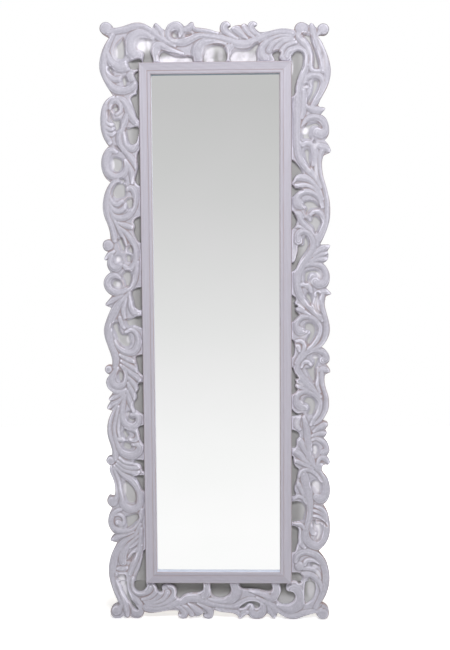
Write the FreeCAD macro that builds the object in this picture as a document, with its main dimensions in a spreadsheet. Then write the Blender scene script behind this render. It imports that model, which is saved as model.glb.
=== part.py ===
import FreeCAD, Part
import os
import Sketcher

# A full-length framed mirror. Four carved boards and a mitred inner moulding sit on a plain base frame;
# the glass lies in the moulding's rebate, held there by slips, and is shut in from behind by a thin panel.
# X runs across, Z goes up from the floor, and the carved front faces -Y.

# Driving sizes in millimetres
SIZES = {
    "seat_y": 4,             # plane where carved boards and moulding meet the base frame
    "ground_t": 4,           # sunk ground of the carved boards
    "relief_t": 20,          # standing carving above the ground
    "mould_out_w": 448,      # moulding, outside width
    "mould_out_h": 1570,     # moulding, outside height
    "mould_foot": 118,       # moulding's lower edge above the floor
    "mould_w": 36,           # moulding's face
    "glass_lap": 6,          # glass hidden behind the lip
    "glass_t": 4,
    "slip_t": 14,            # slips that press the glass against the lip from behind
    "slip_w": 12,
    "slip_in": 5,            # slips set in from the glass edge
    "base_t": 18,
    "base_out_w": 584,
    "base_foot": 40,
    "base_top": 1757,
    "base_open_w": 330,
    "base_open_foot": 171,
    "base_open_top": 1625,
    "dowel_r": 4,
    "dowel_l": 60,
    "dowel_in": 32,          # dowels set in from the rail's edges
    "panel_w": 380,
    "panel_h": 1504,
    "panel_t": 3,
    "panel_screw_in": 10,    # panel screws set in from the panel's edge
    "panel_screw_r": 1.5,
    "panel_screw_l": 15,
    "panel_head_r": 3,
    "panel_head_t": 1.8,
    "wood_screw_r": 2,
    "wood_head_r": 4,
    "wood_head_t": 2.4,
    "carving_screw_l": 30,
    "mould_screw_l": 35,
    "mould_screw_in": 13.75,  # moulding screws set in from the moulding's outer edge
    "plate_l": 100,
    "plate_w": 24,
    "plate_t": 2,
    "plate_screw_in": 12,    # plate screws set in from the plate's ends
    "plate_screw_step": 26,
    "plate_screw_l": 16,
    "plate_head_t": 1.8,
    "strap_w": 18,
    "strap_h": 56,
    "strap_t": 1.5,
    "strap_x": 240,          # hangers, from the middle of the mirror
    "strap_foot": 1474,
    "strap_screw_l": 16,
    "strap_screw_low": 10,
    "strap_screw_high": 28,
    "eye_r": 3.9,            # rolled eye at the strap's head
    "eye_bore_r": 2.05,
    "ring_r": 17,            # D ring, to the middle of its wire
    "wire_r": 1.75,
    "bumper_r": 9,
    "bumper_t": 8,
    "bumper_x": 270,
    "bumper_low": 70,
    "bumper_high": 1730,
}

# Section of the moulding: from its outer edge inwards, and from its back to its front
SECTION = [
    (0, 0), (0, 29.5), (0.6, 31.6), (2, 32.8), (4, 33.2), (6, 32.7), (12, 32.8), (18, 32.7), (23, 32.8),
    (24.2, 32.2), (25, 33), (26.6, 33.8), (29, 34), (31.6, 33.9), (33.6, 33), (34.8, 31), (35.5, 25),
    (36, 18.2), (27.5, 18.2), (27.5, 0),
]

# The carving below is drawn in the XZ plane on a sheet a little out of true. Each point is moved by a shift
# that runs evenly between the sheet's corners, and by a bow in height that is greatest half way up.
SHEET_HALF_W = 345
SHEET_H = 1797
SHIFT_UPPER = {"left": (-1, 10), "right": (-4, 6)}
SHIFT_LOWER = {"left": (5, -1), "right": (-1, 2)}
SHEET_BOW = -2

# Silhouette: lobes that meet at cusps, round the frame from its upper left
OUTLINE = [
    [(-309, 1752), (-326, 1762), (-337, 1774), (-335, 1789), (-320, 1798), (-305, 1792), (-297, 1781)],
    [(-297, 1781), (-280, 1782), (-262, 1787), (-240, 1794), (-218, 1795), (-197, 1788), (-181, 1777)],
    [(-181, 1777), (-178, 1788), (-172, 1794), (-163, 1788), (-153, 1779), (-143, 1774)],
    [(-143, 1774), (-138, 1785), (-125, 1795), (-108, 1798), (-95, 1792), (-88, 1785)],
    [(-88, 1785), (-78, 1788), (-70, 1795), (-62, 1796), (-58, 1787), (-50, 1780)],
    [(-50, 1780), (-30, 1778), (-8, 1773), (8, 1768), (18, 1768)],
    [(18, 1768), (17, 1782), (24, 1794), (36, 1798), (45, 1793), (49, 1786), (43, 1781), (46, 1774)],
    [(46, 1774), (54, 1781), (66, 1786), (80, 1786)],
    [(80, 1786), (87, 1790), (95, 1789), (99, 1784)],
    [(99, 1784), (104, 1794), (116, 1797), (127, 1789), (120, 1782), (124, 1774), (134, 1767)],
    [(134, 1767), (152, 1767), (180, 1773), (204, 1776), (225, 1774), (236, 1772)],
    [(236, 1772), (238, 1783), (246, 1791), (258, 1794), (270, 1790), (280, 1785)],
    [(280, 1785), (285, 1791), (291, 1788), (297, 1781), (303, 1778)],
    [(303, 1778), (309, 1786), (321, 1790), (333, 1785), (338, 1773), (333, 1762), (322, 1757),
     (310, 1757), (306, 1750)],
    [(306, 1750), (316, 1738), (326, 1716), (334, 1698), (340, 1677), (343, 1655), (340, 1630),
     (332, 1607), (320, 1585), (306, 1558)],
    [(306, 1558), (311, 1552), (320, 1551), (327, 1547), (322, 1540), (316, 1533), (312, 1530)],
    [(312, 1530), (325, 1523), (334, 1508), (338, 1490), (337, 1472), (331, 1461), (325, 1455)],
    [(325, 1455), (333, 1447), (339, 1437), (342, 1421), (335, 1417), (326, 1413), (320, 1405)],
    [(320, 1405), (317, 1390), (318, 1370), (321, 1350), (327, 1330), (334, 1305), (340, 1278),
     (342, 1250), (340, 1222), (334, 1200), (325, 1177), (312, 1151)],
    [(312, 1151), (325, 1150), (342, 1147), (338, 1138), (334, 1129)],
    [(334, 1129), (337, 1119), (335, 1108), (328, 1099), (321, 1095)],
    [(321, 1095), (331, 1083), (339, 1067), (341, 1050), (338, 1034), (330, 1021)],
    [(330, 1021), (337, 1014), (345, 1003), (334, 998), (328, 988)],
    [(328, 988), (326, 970), (331, 948), (336, 930), (341, 905), (340, 884), (333, 867), (324, 853),
     (315, 844)],
    [(315, 844), (327, 836), (337, 824), (341, 810), (338, 798), (330, 791)],
    [(330, 791), (338, 782), (342, 768), (333, 763), (326, 755)],
    [(326, 755), (326, 735), (331, 714), (337, 696), (339, 675), (337, 655), (329, 637), (319, 619)],
    [(319, 619), (328, 618), (336, 611), (333, 600), (327, 590)],
    [(327, 590), (333, 584), (329, 573), (322, 565)],
    [(322, 565), (332, 556), (339, 542), (341, 527), (337, 517), (332, 511)],
    [(332, 511), (339, 502), (342, 490), (337, 484), (326, 484), (319, 478)],
    [(319, 478), (318, 468), (325, 455), (335, 442), (341, 425), (343, 402), (340, 385), (333, 371),
     (321, 359)],
    [(321, 359), (330, 347), (338, 328), (342, 308), (343, 285), (340, 262), (332, 243), (321, 228),
     (306, 214)],
    [(306, 214), (320, 199), (332, 180), (339, 158), (342, 133), (340, 108), (334, 85), (324, 64),
     (312, 50)],
    [(312, 50), (325, 46), (336, 36), (340, 20), (337, 7), (326, 0), (314, 1), (305, 8), (298, 20)],
    [(298, 20), (280, 15), (260, 8), (240, 1), (225, 0), (208, 4), (195, 11), (181, 21)],
    [(181, 21), (177, 9), (170, 1), (163, 4), (156, 12), (147, 16)],
    [(147, 16), (140, 8), (130, 2), (115, 0), (100, 2), (91, 9), (84, 14)],
    [(84, 14), (76, 9), (70, 4), (62, 0), (58, 6), (52, 13)],
    [(52, 13), (38, 19), (15, 21), (-5, 24), (-18, 28)],
    [(-18, 28), (-19, 14), (-25, 3), (-36, 0), (-47, 3), (-53, 10), (-48, 16), (-50, 21)],
    [(-50, 21), (-56, 14), (-63, 9), (-80, 8)],
    [(-80, 8), (-88, 6), (-95, 8), (-98, 12)],
    [(-98, 12), (-104, 3), (-115, 0), (-126, 5), (-131, 14), (-127, 22), (-135, 26)],
    [(-135, 26), (-155, 26), (-175, 24), (-195, 20), (-212, 18), (-236, 22)],
    [(-236, 22), (-240, 11), (-250, 3), (-262, 0), (-274, 4), (-281, 9)],
    [(-281, 9), (-286, 3), (-292, 3), (-301, 9)],
    [(-301, 9), (-308, 4), (-322, 0), (-335, 6), (-342, 20), (-338, 35), (-328, 44), (-318, 47)],
    [(-318, 47), (-319, 57), (-326, 75), (-335, 100), (-342, 125), (-345, 150), (-342, 180), (-334, 208),
     (-324, 228), (-317, 243)],
    [(-317, 243), (-326, 244), (-337, 251), (-331, 261), (-322, 267)],
    [(-322, 267), (-334, 280), (-342, 297), (-343, 315), (-338, 335), (-329, 350)],
    [(-329, 350), (-337, 357), (-344, 368), (-344, 380), (-338, 389), (-329, 387), (-321, 390)],
    [(-321, 390), (-319, 402), (-320, 425), (-327, 448), (-335, 468), (-332, 484)],
    [(-332, 484), (-341, 489), (-345, 499), (-340, 509), (-328, 512)],
    [(-328, 512), (-327, 530), (-333, 552), (-339, 575), (-340, 600), (-335, 625), (-328, 642),
     (-322, 653)],
    [(-322, 653), (-331, 654), (-338, 658), (-334, 672), (-328, 683)],
    [(-328, 683), (-333, 686), (-328, 697), (-321, 709)],
    [(-321, 709), (-332, 718), (-339, 730), (-340, 743), (-335, 754), (-329, 762)],
    [(-329, 762), (-338, 767), (-343, 777), (-340, 787), (-331, 791), (-321, 789)],
    [(-321, 789), (-320, 805), (-326, 830), (-335, 856), (-342, 880), (-343, 900), (-336, 926),
     (-326, 950), (-320, 963)],
    [(-320, 963), (-328, 967), (-337, 972), (-331, 984), (-318, 1001)],
    [(-318, 1001), (-331, 1011), (-340, 1027), (-341, 1043), (-334, 1058), (-320, 1070)],
    [(-320, 1070), (-327, 1081), (-330, 1094), (-328, 1106)],
    [(-328, 1106), (-337, 1108), (-334, 1120), (-326, 1131)],
    [(-326, 1131), (-338, 1138), (-342, 1150), (-338, 1162), (-326, 1168), (-318, 1168)],
    [(-318, 1168), (-319, 1185), (-325, 1210), (-335, 1236), (-339, 1262), (-336, 1290), (-325, 1320),
     (-314, 1336)],
    [(-314, 1336), (-327, 1346), (-336, 1362), (-341, 1388), (-338, 1410), (-328, 1430), (-317, 1441)],
    [(-317, 1441), (-330, 1460), (-338, 1482), (-341, 1508), (-339, 1538), (-331, 1563), (-318, 1578),
     (-302, 1587)],
    [(-302, 1587), (-316, 1608), (-330, 1633), (-340, 1662), (-339, 1690), (-333, 1712), (-322, 1735),
     (-309, 1752)],
]

# Sunk recesses of the head and the foot; those at the moulding run under it
RECESSES_TOP = [
    [(-232, 1728), (-222, 1746), (-205, 1751), (-188, 1748), (-180, 1736), (-184, 1715), (-184, 1676),
     (-211, 1676), (-211, 1706), (-222, 1716)],
    [(-161, 1708), (-150, 1716), (-136, 1711), (-115, 1703), (-85, 1701), (-64, 1697), (-64, 1676),
     (-155, 1676)],
    [(-128, 1762), (-121, 1771), (-110, 1768), (-105, 1757), (-114, 1749), (-125, 1752)],
    [(-86, 1759), (-76, 1766), (-66, 1762), (-74, 1755)],
    [(-32, 1676), (-33, 1705), (-26, 1722), (-8, 1732), (18, 1733), (29, 1728), (28, 1676)],
    [(50, 1676), (50, 1708), (58, 1716), (85, 1718), (108, 1724), (128, 1737), (134, 1732), (128, 1712),
     (126, 1676)],
    [(172, 1676), (176, 1692), (170, 1704), (176, 1712), (190, 1714), (197, 1706), (191, 1694),
     (198, 1676)],
    [(228, 1690), (230, 1703), (240, 1713), (254, 1713), (265, 1703), (266, 1682), (262, 1662),
     (253, 1646), (245, 1628), (240, 1608), (235, 1585), (218, 1582), (218, 1668), (225, 1672)],
    [(259, 1762), (270, 1762), (285, 1757), (290, 1737), (299, 1715), (307, 1690), (311, 1668),
     (308, 1661), (293, 1661), (289, 1680), (289, 1700), (283, 1722), (272, 1740)],
]

RECESSES_FOOT = [
    [(-218, 218), (-235, 215), (-240, 192), (-245, 172), (-253, 153), (-262, 138), (-266, 117),
     (-265, 97), (-255, 87), (-240, 87), (-230, 97), (-226, 127), (-218, 132)],
    [(-315, 139), (-292, 139), (-289, 112), (-286, 92), (-279, 72), (-269, 52), (-258, 38), (-254, 30),
     (-263, 30), (-277, 45), (-287, 58), (-296, 75), (-304, 92), (-311, 112)],
    [(-205, 125), (-203, 110), (-198, 103), (-195, 92), (-186, 84), (-178, 88), (-180, 98), (-175, 105),
     (-165, 109), (-150, 108), (-141, 103), (-136, 94), (-135, 80), (-133, 67), (-126, 64), (-112, 74),
     (-98, 79), (-80, 81), (-60, 83), (-52, 89), (-50, 100), (-51, 125)],
    [(-27, 125), (-27, 86), (-20, 72), (-5, 66), (12, 66), (26, 73), (35, 86), (36, 97), (33, 107),
     (33, 125)],
    [(62, 125), (61, 109), (67, 98), (78, 93), (95, 93), (112, 92), (130, 89), (148, 85), (160, 87),
     (165, 96), (163, 108), (163, 125)],
    [(184, 125), (187, 108), (190, 97), (190, 84), (184, 70), (180, 60), (186, 50), (200, 45), (216, 46),
     (229, 54), (236, 68), (233, 80), (222, 87), (210, 89), (207, 98), (211, 110), (214, 125)],
    [(62, 35), (72, 46), (86, 54), (104, 56), (118, 53), (126, 44), (122, 34), (112, 32), (106, 39),
     (101, 46), (90, 46), (82, 38), (72, 32)],
]

# Sunk recesses of the upper left corner
RECESSES_UPPER_LEFT = [
    [(-266, 1752), (-262, 1735), (-261, 1710), (-266, 1692), (-278, 1688), (-291, 1692), (-298, 1712),
     (-293, 1730), (-280, 1745)],
    [(-314, 1668), (-306, 1671), (-299, 1656), (-298, 1646), (-306, 1650)],
    [(-275, 1640), (-266, 1645), (-258, 1635), (-257, 1620), (-264, 1612), (-274, 1616), (-277, 1628)],
    [(-257, 1688), (-240, 1690), (-216, 1690), (-216, 1662), (-230, 1662), (-250, 1662), (-257, 1672)],
    [(-233, 1655), (-216, 1658), (-216, 1588), (-231, 1590), (-228, 1620)],
]

# Sunk recesses of the left side, from the top
RECESSES_LEFT = [
    [(-306, 1549), (-301, 1559), (-290, 1560), (-284, 1551), (-287, 1541), (-298, 1538)],
    [(-315, 1545), (-306, 1535), (-300, 1521), (-282, 1520), (-279, 1505), (-284, 1488), (-296, 1484),
     (-303, 1499), (-312, 1515)],
    [(-216, 1592), (-232, 1592), (-252, 1580), (-246, 1560), (-238, 1540), (-228, 1518), (-216, 1512)],
    [(-264, 1495), (-245, 1498), (-229, 1497), (-230, 1465), (-238, 1448), (-252, 1444), (-262, 1455),
     (-266, 1475)],
    [(-299, 1444), (-291, 1441), (-281, 1424), (-290, 1427)],
    [(-311, 1400), (-303, 1412), (-290, 1410), (-278, 1404), (-274, 1388), (-280, 1370), (-293, 1362),
     (-307, 1368), (-312, 1384)],
    [(-289, 1345), (-278, 1349), (-267, 1340), (-270, 1333), (-282, 1336)],
    [(-216, 1436), (-230, 1425), (-235, 1405), (-232, 1380), (-238, 1360), (-240, 1335), (-230, 1325),
     (-216, 1325)],
    [(-313, 1300), (-305, 1325), (-288, 1336), (-270, 1330), (-266, 1312), (-270, 1292), (-285, 1286),
     (-300, 1284)],
    [(-271, 1285), (-262, 1291), (-250, 1290), (-246, 1272), (-252, 1258), (-264, 1256), (-270, 1266)],
    [(-216, 1236), (-232, 1234), (-250, 1216), (-246, 1206), (-250, 1192), (-243, 1174), (-232, 1158),
     (-216, 1156)],
    [(-293, 1172), (-285, 1174), (-276, 1156), (-271, 1140), (-277, 1130), (-286, 1132), (-292, 1147)],
    [(-266, 1146), (-256, 1150), (-249, 1136), (-252, 1124), (-262, 1126)],
    [(-307, 1110), (-300, 1121), (-289, 1120), (-283, 1109), (-290, 1099), (-302, 1099)],
    [(-275, 1112), (-270, 1124), (-258, 1124), (-253, 1110), (-258, 1098), (-270, 1098)],
    [(-288, 1060), (-278, 1074), (-262, 1076), (-254, 1062), (-256, 1040), (-265, 1025), (-276, 1028),
     (-282, 1045)],
    [(-318, 1040), (-308, 1050), (-292, 1046), (-284, 1034), (-290, 1024), (-306, 1022), (-317, 1028)],
    [(-257, 1015), (-246, 1022), (-216, 1022), (-216, 957), (-238, 957), (-250, 965), (-255, 985)],
    [(-275, 930), (-260, 934), (-216, 932), (-216, 900), (-236, 905), (-250, 908), (-270, 906)],
    [(-312, 920), (-300, 921), (-294, 900), (-284, 886), (-270, 886), (-262, 870), (-262, 850),
     (-274, 842), (-292, 848), (-304, 862), (-311, 885)],
    [(-216, 822), (-232, 822), (-250, 815), (-247, 795), (-242, 775), (-230, 760), (-216, 760)],
    [(-304, 770), (-294, 776), (-286, 768), (-285, 750), (-292, 739), (-302, 742), (-306, 756)],
    [(-216, 738), (-230, 738), (-244, 730), (-242, 718), (-250, 705), (-249, 690), (-257, 680),
     (-256, 655), (-245, 648), (-233, 640), (-216, 640)],
    [(-281, 640), (-275, 652), (-264, 650), (-268, 640), (-264, 630), (-254, 628), (-254, 617),
     (-266, 614), (-278, 622)],
    [(-216, 606), (-234, 606), (-246, 597), (-242, 580), (-240, 565), (-230, 548), (-216, 548)],
    [(-292, 592), (-283, 596), (-276, 586), (-270, 576), (-276, 566), (-284, 562), (-291, 572)],
    [(-290, 555), (-282, 558), (-268, 552), (-262, 542), (-264, 532), (-276, 527), (-290, 532),
     (-296, 543)],
    [(-216, 500), (-240, 500), (-262, 496), (-262, 490), (-246, 486), (-238, 478), (-234, 465),
     (-216, 465)],
    [(-216, 452), (-240, 452), (-260, 448), (-250, 432), (-240, 412), (-232, 402), (-216, 402)],
    [(-293, 432), (-285, 436), (-272, 428), (-256, 405), (-252, 380), (-258, 363), (-272, 360),
     (-286, 370), (-293, 390)],
    [(-288, 325), (-270, 332), (-250, 332), (-246, 322), (-256, 303), (-270, 290), (-284, 286),
     (-290, 298)],
    [(-287, 186), (-277, 197), (-267, 210), (-260, 211), (-262, 198), (-270, 186), (-280, 181)],
]

# Sunk recesses of the right side, from the top; the last are the lower right corner's
RECESSES_RIGHT = [
    [(288, 1625), (297, 1633), (308, 1629), (309, 1612), (302, 1592), (290, 1572), (277, 1555),
     (273, 1562), (280, 1585), (286, 1605)],
    [(264, 1612), (272, 1621), (282, 1615), (285, 1608), (274, 1611)],
    [(256, 1474), (258, 1490), (266, 1500), (285, 1507), (303, 1509), (313, 1500), (316, 1491),
     (305, 1492), (290, 1492), (284, 1482), (284, 1470), (288, 1458), (272, 1456), (258, 1460)],
    [(290, 1455), (297, 1458), (300, 1450), (293, 1446)],
    [(262, 1420), (266, 1431), (275, 1434), (283, 1426), (284, 1405), (285, 1385), (283, 1373),
     (275, 1381), (266, 1400)],
    [(216, 1398), (231, 1398), (246, 1385), (260, 1368), (262, 1358), (248, 1355), (236, 1347),
     (230, 1335), (216, 1332)],
    [(216, 1328), (229, 1327), (238, 1318), (252, 1317), (262, 1311), (246, 1304), (232, 1292),
     (216, 1290)],
    [(260, 1268), (264, 1278), (276, 1282), (292, 1280), (306, 1270), (312, 1258), (300, 1254),
     (286, 1252), (278, 1244), (270, 1238), (266, 1246), (268, 1258)],
    [(216, 1248), (232, 1247), (238, 1235), (243, 1225), (241, 1210), (232, 1198), (216, 1190)],
    [(264, 1228), (272, 1228), (282, 1222), (288, 1235), (300, 1236), (312, 1228), (318, 1215),
     (312, 1200), (304, 1186), (297, 1182), (290, 1195), (280, 1208), (266, 1218)],
    [(262, 1172), (268, 1176), (277, 1168), (281, 1152), (278, 1138), (268, 1122), (258, 1108),
     (246, 1090), (236, 1074), (216, 1070), (216, 1094), (232, 1098), (240, 1115), (244, 1135),
     (247, 1149), (258, 1152)],
    [(262, 1062), (268, 1072), (282, 1076), (300, 1077), (312, 1070), (317, 1058), (310, 1048),
     (298, 1060), (286, 1062), (279, 1050), (278, 1040), (266, 1036), (262, 1046)],
    [(267, 1002), (273, 1009), (284, 1004), (291, 990), (290, 976), (284, 969), (274, 980)],
    [(298, 1000), (304, 1010), (312, 1005), (310, 992), (306, 975), (309, 955), (318, 942), (306, 946),
     (296, 960), (293, 978)],
    [(216, 998), (232, 998), (240, 985), (236, 975), (246, 966), (238, 958), (244, 948), (250, 940),
     (238, 928), (228, 918), (216, 918)],
    [(262, 905), (268, 917), (282, 920), (296, 912), (302, 895), (298, 875), (288, 858), (276, 848),
     (268, 858), (272, 875), (278, 888), (266, 892)],
    [(216, 866), (232, 862), (236, 845), (236, 830), (230, 814), (216, 812)],
    [(286, 815), (292, 820), (306, 819), (311, 808), (307, 795), (300, 770), (300, 745), (292, 735),
     (284, 742), (272, 765), (268, 780), (278, 783), (288, 790), (290, 803)],
    [(216, 780), (230, 780), (236, 765), (246, 748), (238, 744), (240, 734), (236, 726), (244, 716),
     (236, 704), (226, 698), (216, 698)],
    [(262, 688), (272, 695), (286, 694), (298, 684), (303, 666), (299, 648), (291, 634), (281, 632),
     (270, 640), (276, 655), (272, 667), (262, 672)],
    [(216, 653), (232, 650), (240, 643), (262, 641), (262, 635), (245, 634), (216, 634)],
    [(216, 595), (234, 590), (248, 582), (250, 568), (242, 560), (241, 545), (238, 537), (216, 540)],
    [(287, 535), (290, 546), (300, 548), (308, 540), (308, 522), (302, 511), (292, 512), (286, 522)],
    [(216, 510), (230, 508), (232, 490), (238, 478), (248, 470), (245, 455), (242, 438), (238, 425),
     (234, 405), (238, 390), (228, 384), (216, 384)],
    [(283, 428), (292, 437), (306, 436), (316, 425), (317, 408), (310, 394), (300, 398), (292, 410),
     (286, 415)],
    [(216, 368), (240, 370), (258, 368), (268, 358), (272, 345), (268, 325), (262, 308), (250, 306),
     (240, 306), (216, 304)],
    [(302, 310), (316, 311), (330, 302), (334, 293), (322, 300), (310, 303)],
    [(292, 312), (298, 312), (302, 302), (312, 303), (318, 290), (318, 265), (312, 250), (302, 245),
     (296, 252), (300, 265), (301, 280), (294, 290)],
    [(216, 292), (234, 292), (246, 285), (246, 262), (246, 240), (240, 225), (236, 212), (216, 208)],
    [(280, 176), (288, 180), (302, 177), (313, 168), (304, 165), (290, 164), (281, 168)],
    [(216, 145), (232, 146), (256, 142), (262, 133), (258, 118), (248, 110), (236, 118), (216, 120)],
    [(266, 48), (263, 65), (264, 95), (268, 118), (280, 132), (292, 122), (299, 100), (297, 78),
     (288, 60), (276, 50)],
]

# Screws from behind into thick places of the carving
CARVING_SCREWS = [
    (-280, 1674), (-258, 1425), (-282, 1231), (-281, 967), (-278, 811), (-262, 598), (-238, 356),
    (-274, 245), (275, 1652), (243, 1446), (256, 1200), (245, 1022), (257, 810), (279, 595),
    (265, 396), (273, 216), (-93, 1736), (68, 1749), (94, 70), (-67, 55),
]
MOULD_SCREWS_UP = [220, 560, 900, 1240, 1576]
MOULD_SCREWS_ACROSS = [-120, 0, 120]
PANEL_SCREWS_UP = [200, 550, 898, 1246, 1596]
PANEL_SCREWS_ACROSS = [-100, 0, 100]
SIDES = {"left": -1, "right": 1}
SPARE = 10                  # how far a cutting shape runs past what it cuts

X = FreeCAD.Vector(1, 0, 0)
Y = FreeCAD.Vector(0, 1, 0)
Z = FreeCAD.Vector(0, 0, 1)
TO_FRONT = FreeCAD.Rotation(X, 90)     # turns a shape's own Z to the mirror's front
TO_SIDE = FreeCAD.Rotation(Y, 90)      # turns a shape's own Z to +X

doc = FreeCAD.newDocument("framed_mirror")
sheet = doc.addObject("Spreadsheet::Sheet", "sizes")
pieces = []


def fill_sheet():
    values = dict(SIZES)
    for i, (across, deep) in enumerate(SECTION):
        values["section_across_%d" % i] = across
        values["section_deep_%d" % i] = deep
    for row, (alias, value) in enumerate(values.items(), start=1):
        sheet.set("A%d" % row, alias)
        sheet.set("B%d" % row, str(value))
        sheet.setAlias("B%d" % row, alias)
    doc.recompute()


def size(alias):
    return float(sheet.get(alias))


def bound(text):
    """An expression in the sheet's names: each word with a letter first is a cell."""
    words = text.replace("(", "( ").replace(")", " )").split()
    return " ".join("sizes." + w if w[0].isalpha() else w for w in words)


def bind(obj, **sizes):
    for prop, text in sizes.items():
        obj.setExpression(prop, bound(text))


def place(obj, x, y, z, turn=None):
    """Puts an object at a point given in the sheet's names."""
    if turn is not None:
        obj.Placement = FreeCAD.Placement(FreeCAD.Vector(), turn)
    for axis, text in (("x", x), ("y", y), ("z", z)):
        obj.setExpression("Placement.Base." + axis, bound(str(text)))
    return obj


def piece(obj, label):
    obj.Label = label
    pieces.append(obj)
    return obj


def box(name, length, width, height, x, y, z):
    obj = doc.addObject("Part::Box", name)
    bind(obj, Length=length, Width=width, Height=height)
    return place(obj, x, y, z)


def cylinder(name, radius, height, x, y, z, turn=None):
    obj = doc.addObject("Part::Cylinder", name)
    bind(obj, Radius=radius, Height=height)
    return place(obj, x, y, z, turn)


def joined(name, shapes):
    obj = doc.addObject("Part::MultiFuse", name)
    obj.Shapes = shapes
    return obj


def cut(name, base, *tools):
    """The base less each tool in turn."""
    for i, tool in enumerate(tools):
        obj = doc.addObject("Part::Cut", "%s_cut_%d" % (name, i))
        obj.Base = base
        obj.Tool = tool
        base = obj
    return base


def screws(label, spots, y, shank_r, length, head_r, head_t):
    """Countersunk screws that go in from behind, with their heads flush at y."""
    shapes = []
    for i, (x, z) in enumerate(spots):
        shank = cylinder("%s_shank_%d" % (label, i), shank_r, length, x, y, z, TO_FRONT)
        head = doc.addObject("Part::Cone", "%s_head_%d" % (label, i))
        bind(head, Radius1=head_r, Radius2=shank_r, Height=head_t)
        place(head, x, y, z, TO_FRONT)
        shapes += [shank, head]
    return piece(joined(label, shapes), label)


def outline_sketch(body, name, points):
    """A closed line of bound points on the body's XY plane; each point is (x, x text, y, y text)."""
    sketch = body.newObject("Sketcher::SketchObject", name)
    plane = [f for f in body.Origin.OriginFeatures if f.Role == "XY_Plane"][0]
    sketch.AttachmentSupport = [(plane, "")]
    sketch.MapMode = "FlatFace"
    count = len(points)
    for i in range(count):
        start = FreeCAD.Vector(points[i][0], points[i][2], 0)
        end = FreeCAD.Vector(points[(i + 1) % count][0], points[(i + 1) % count][2], 0)
        sketch.addGeometry(Part.LineSegment(start, end))
    for i in range(count):
        sketch.addConstraint(Sketcher.Constraint("Coincident", i, 2, (i + 1) % count, 1))
    for i, (x, x_text, y, y_text) in enumerate(points):
        for kind, value, text, axis in (("DistanceX", x, x_text, -2), ("DistanceY", y, y_text, -1)):
            if value == 0:
                sketch.addConstraint(Sketcher.Constraint("PointOnObject", i, 1, axis))
                continue
            row = sketch.addConstraint(Sketcher.Constraint(kind, -1, 1, i, 1, value))
            sketch.setExpression("Constraints[%d]" % row, bound(text))
    return sketch


def spline(points, y):
    curve = Part.BSplineCurve()
    curve.interpolate([FreeCAD.Vector(x, y, z) for x, z in points])
    return curve.toShape()


def loop(points, y):
    curve = Part.BSplineCurve()
    curve.interpolate(Points=[FreeCAD.Vector(x, y, z) for x, z in points], PeriodicFlag=True)
    return Part.Face(Part.Wire([curve.toShape()]))


def true_point(x, z):
    """Where a point of the drawn sheet lies on the mirror."""
    right = (x + SHEET_HALF_W) / (2 * SHEET_HALF_W)
    up = z / SHEET_H
    shift_x = 0
    shift_z = 4 * up * (1 - up) * SHEET_BOW
    for side, share in (("left", 1 - right), ("right", right)):
        shift_x += share * (up * SHIFT_UPPER[side][0] + (1 - up) * SHIFT_LOWER[side][0])
        shift_z += share * (up * SHIFT_UPPER[side][1] + (1 - up) * SHIFT_LOWER[side][1])
    return x + shift_x, z + shift_z


def trued(loops):
    return [[true_point(x, z) for x, z in points] for points in loops]


def carved_boards(fixings):
    """Stiles the full height of the mirror, with the rails between them."""
    seat = size("seat_y")
    ground = seat - size("ground_t")
    front = ground - size("relief_t")
    half_w = size("mould_out_w") / 2
    low = size("mould_foot")
    high = low + size("mould_out_h")
    silhouette = Part.Face(Part.Wire([spline(lobe, seat) for lobe in trued(OUTLINE)]))
    slab = silhouette.extrude(FreeCAD.Vector(0, front - seat, 0))
    reach = FreeCAD.Vector(0, front - ground - SPARE, 0)
    recesses = trued(RECESSES_TOP + RECESSES_FOOT + RECESSES_UPPER_LEFT + RECESSES_LEFT + RECESSES_RIGHT)
    tools = [loop(points, ground).extrude(reach) for points in recesses]
    limit = slab.BoundBox
    left = limit.XMin - SPARE
    right = limit.XMax + SPARE
    foot = 0                # the lowest lobes are flattened where they stand on the floor
    head = limit.ZMax + SPARE
    regions = {
        "carved_left_stile": (left, -half_w, foot, head),
        "carved_right_stile": (half_w, right, foot, head),
        "carved_top_rail": (-half_w, half_w, high, head),
        "carved_bottom_rail": (-half_w, half_w, foot, low),
    }
    for label, (x0, x1, z0, z1) in regions.items():
        corner = FreeCAD.Vector(x0, front - SPARE, z0)
        region = Part.makeBox(x1 - x0, seat - front + 2 * SPARE, z1 - z0, corner)
        board = slab.common(region)
        for tool in tools:
            if tool.BoundBox.intersect(board.BoundBox):
                board = board.cut(tool)
        blank = doc.addObject("Part::Feature", label + "_blank")
        blank.Shape = board
        piece(cut(label, blank, fixings), label)


def mouldings(fixings):
    """Four mitred lengths of one section, each laid from its own corner round the glass."""
    half_w = "mould_out_w / 2"
    top = "mould_foot + mould_out_h"
    lengths = {
        "moulding_bottom": ("mould_out_w", X, Z, "-1 * " + half_w, "mould_foot"),
        "moulding_top": ("mould_out_w", -X, -Z, half_w, top),
        "moulding_left": ("mould_out_h", -Z, X, "-1 * " + half_w, top),
        "moulding_right": ("mould_out_h", Z, -X, half_w, "mould_foot"),
    }
    for label, (run, along, across, x, z) in lengths.items():
        body = doc.addObject("PartDesign::Body", label + "_body")
        section = outline_sketch(body, label + "_section", [
            (a, "section_across_%d" % i, d, "section_deep_%d" % i) for i, (a, d) in enumerate(SECTION)])
        pad = body.newObject("PartDesign::Pad", label + "_length")
        pad.Profile = section
        bind(pad, Length=run)
        mitre_ends(body, label, run)
        front = along.cross(across)
        body.Placement = FreeCAD.Placement(FreeCAD.Vector(), FreeCAD.Rotation(across, front, along, "XYZ"))
        place(body, x, "seat_y", z)
        piece(cut(label, body, fixings), label)


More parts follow.
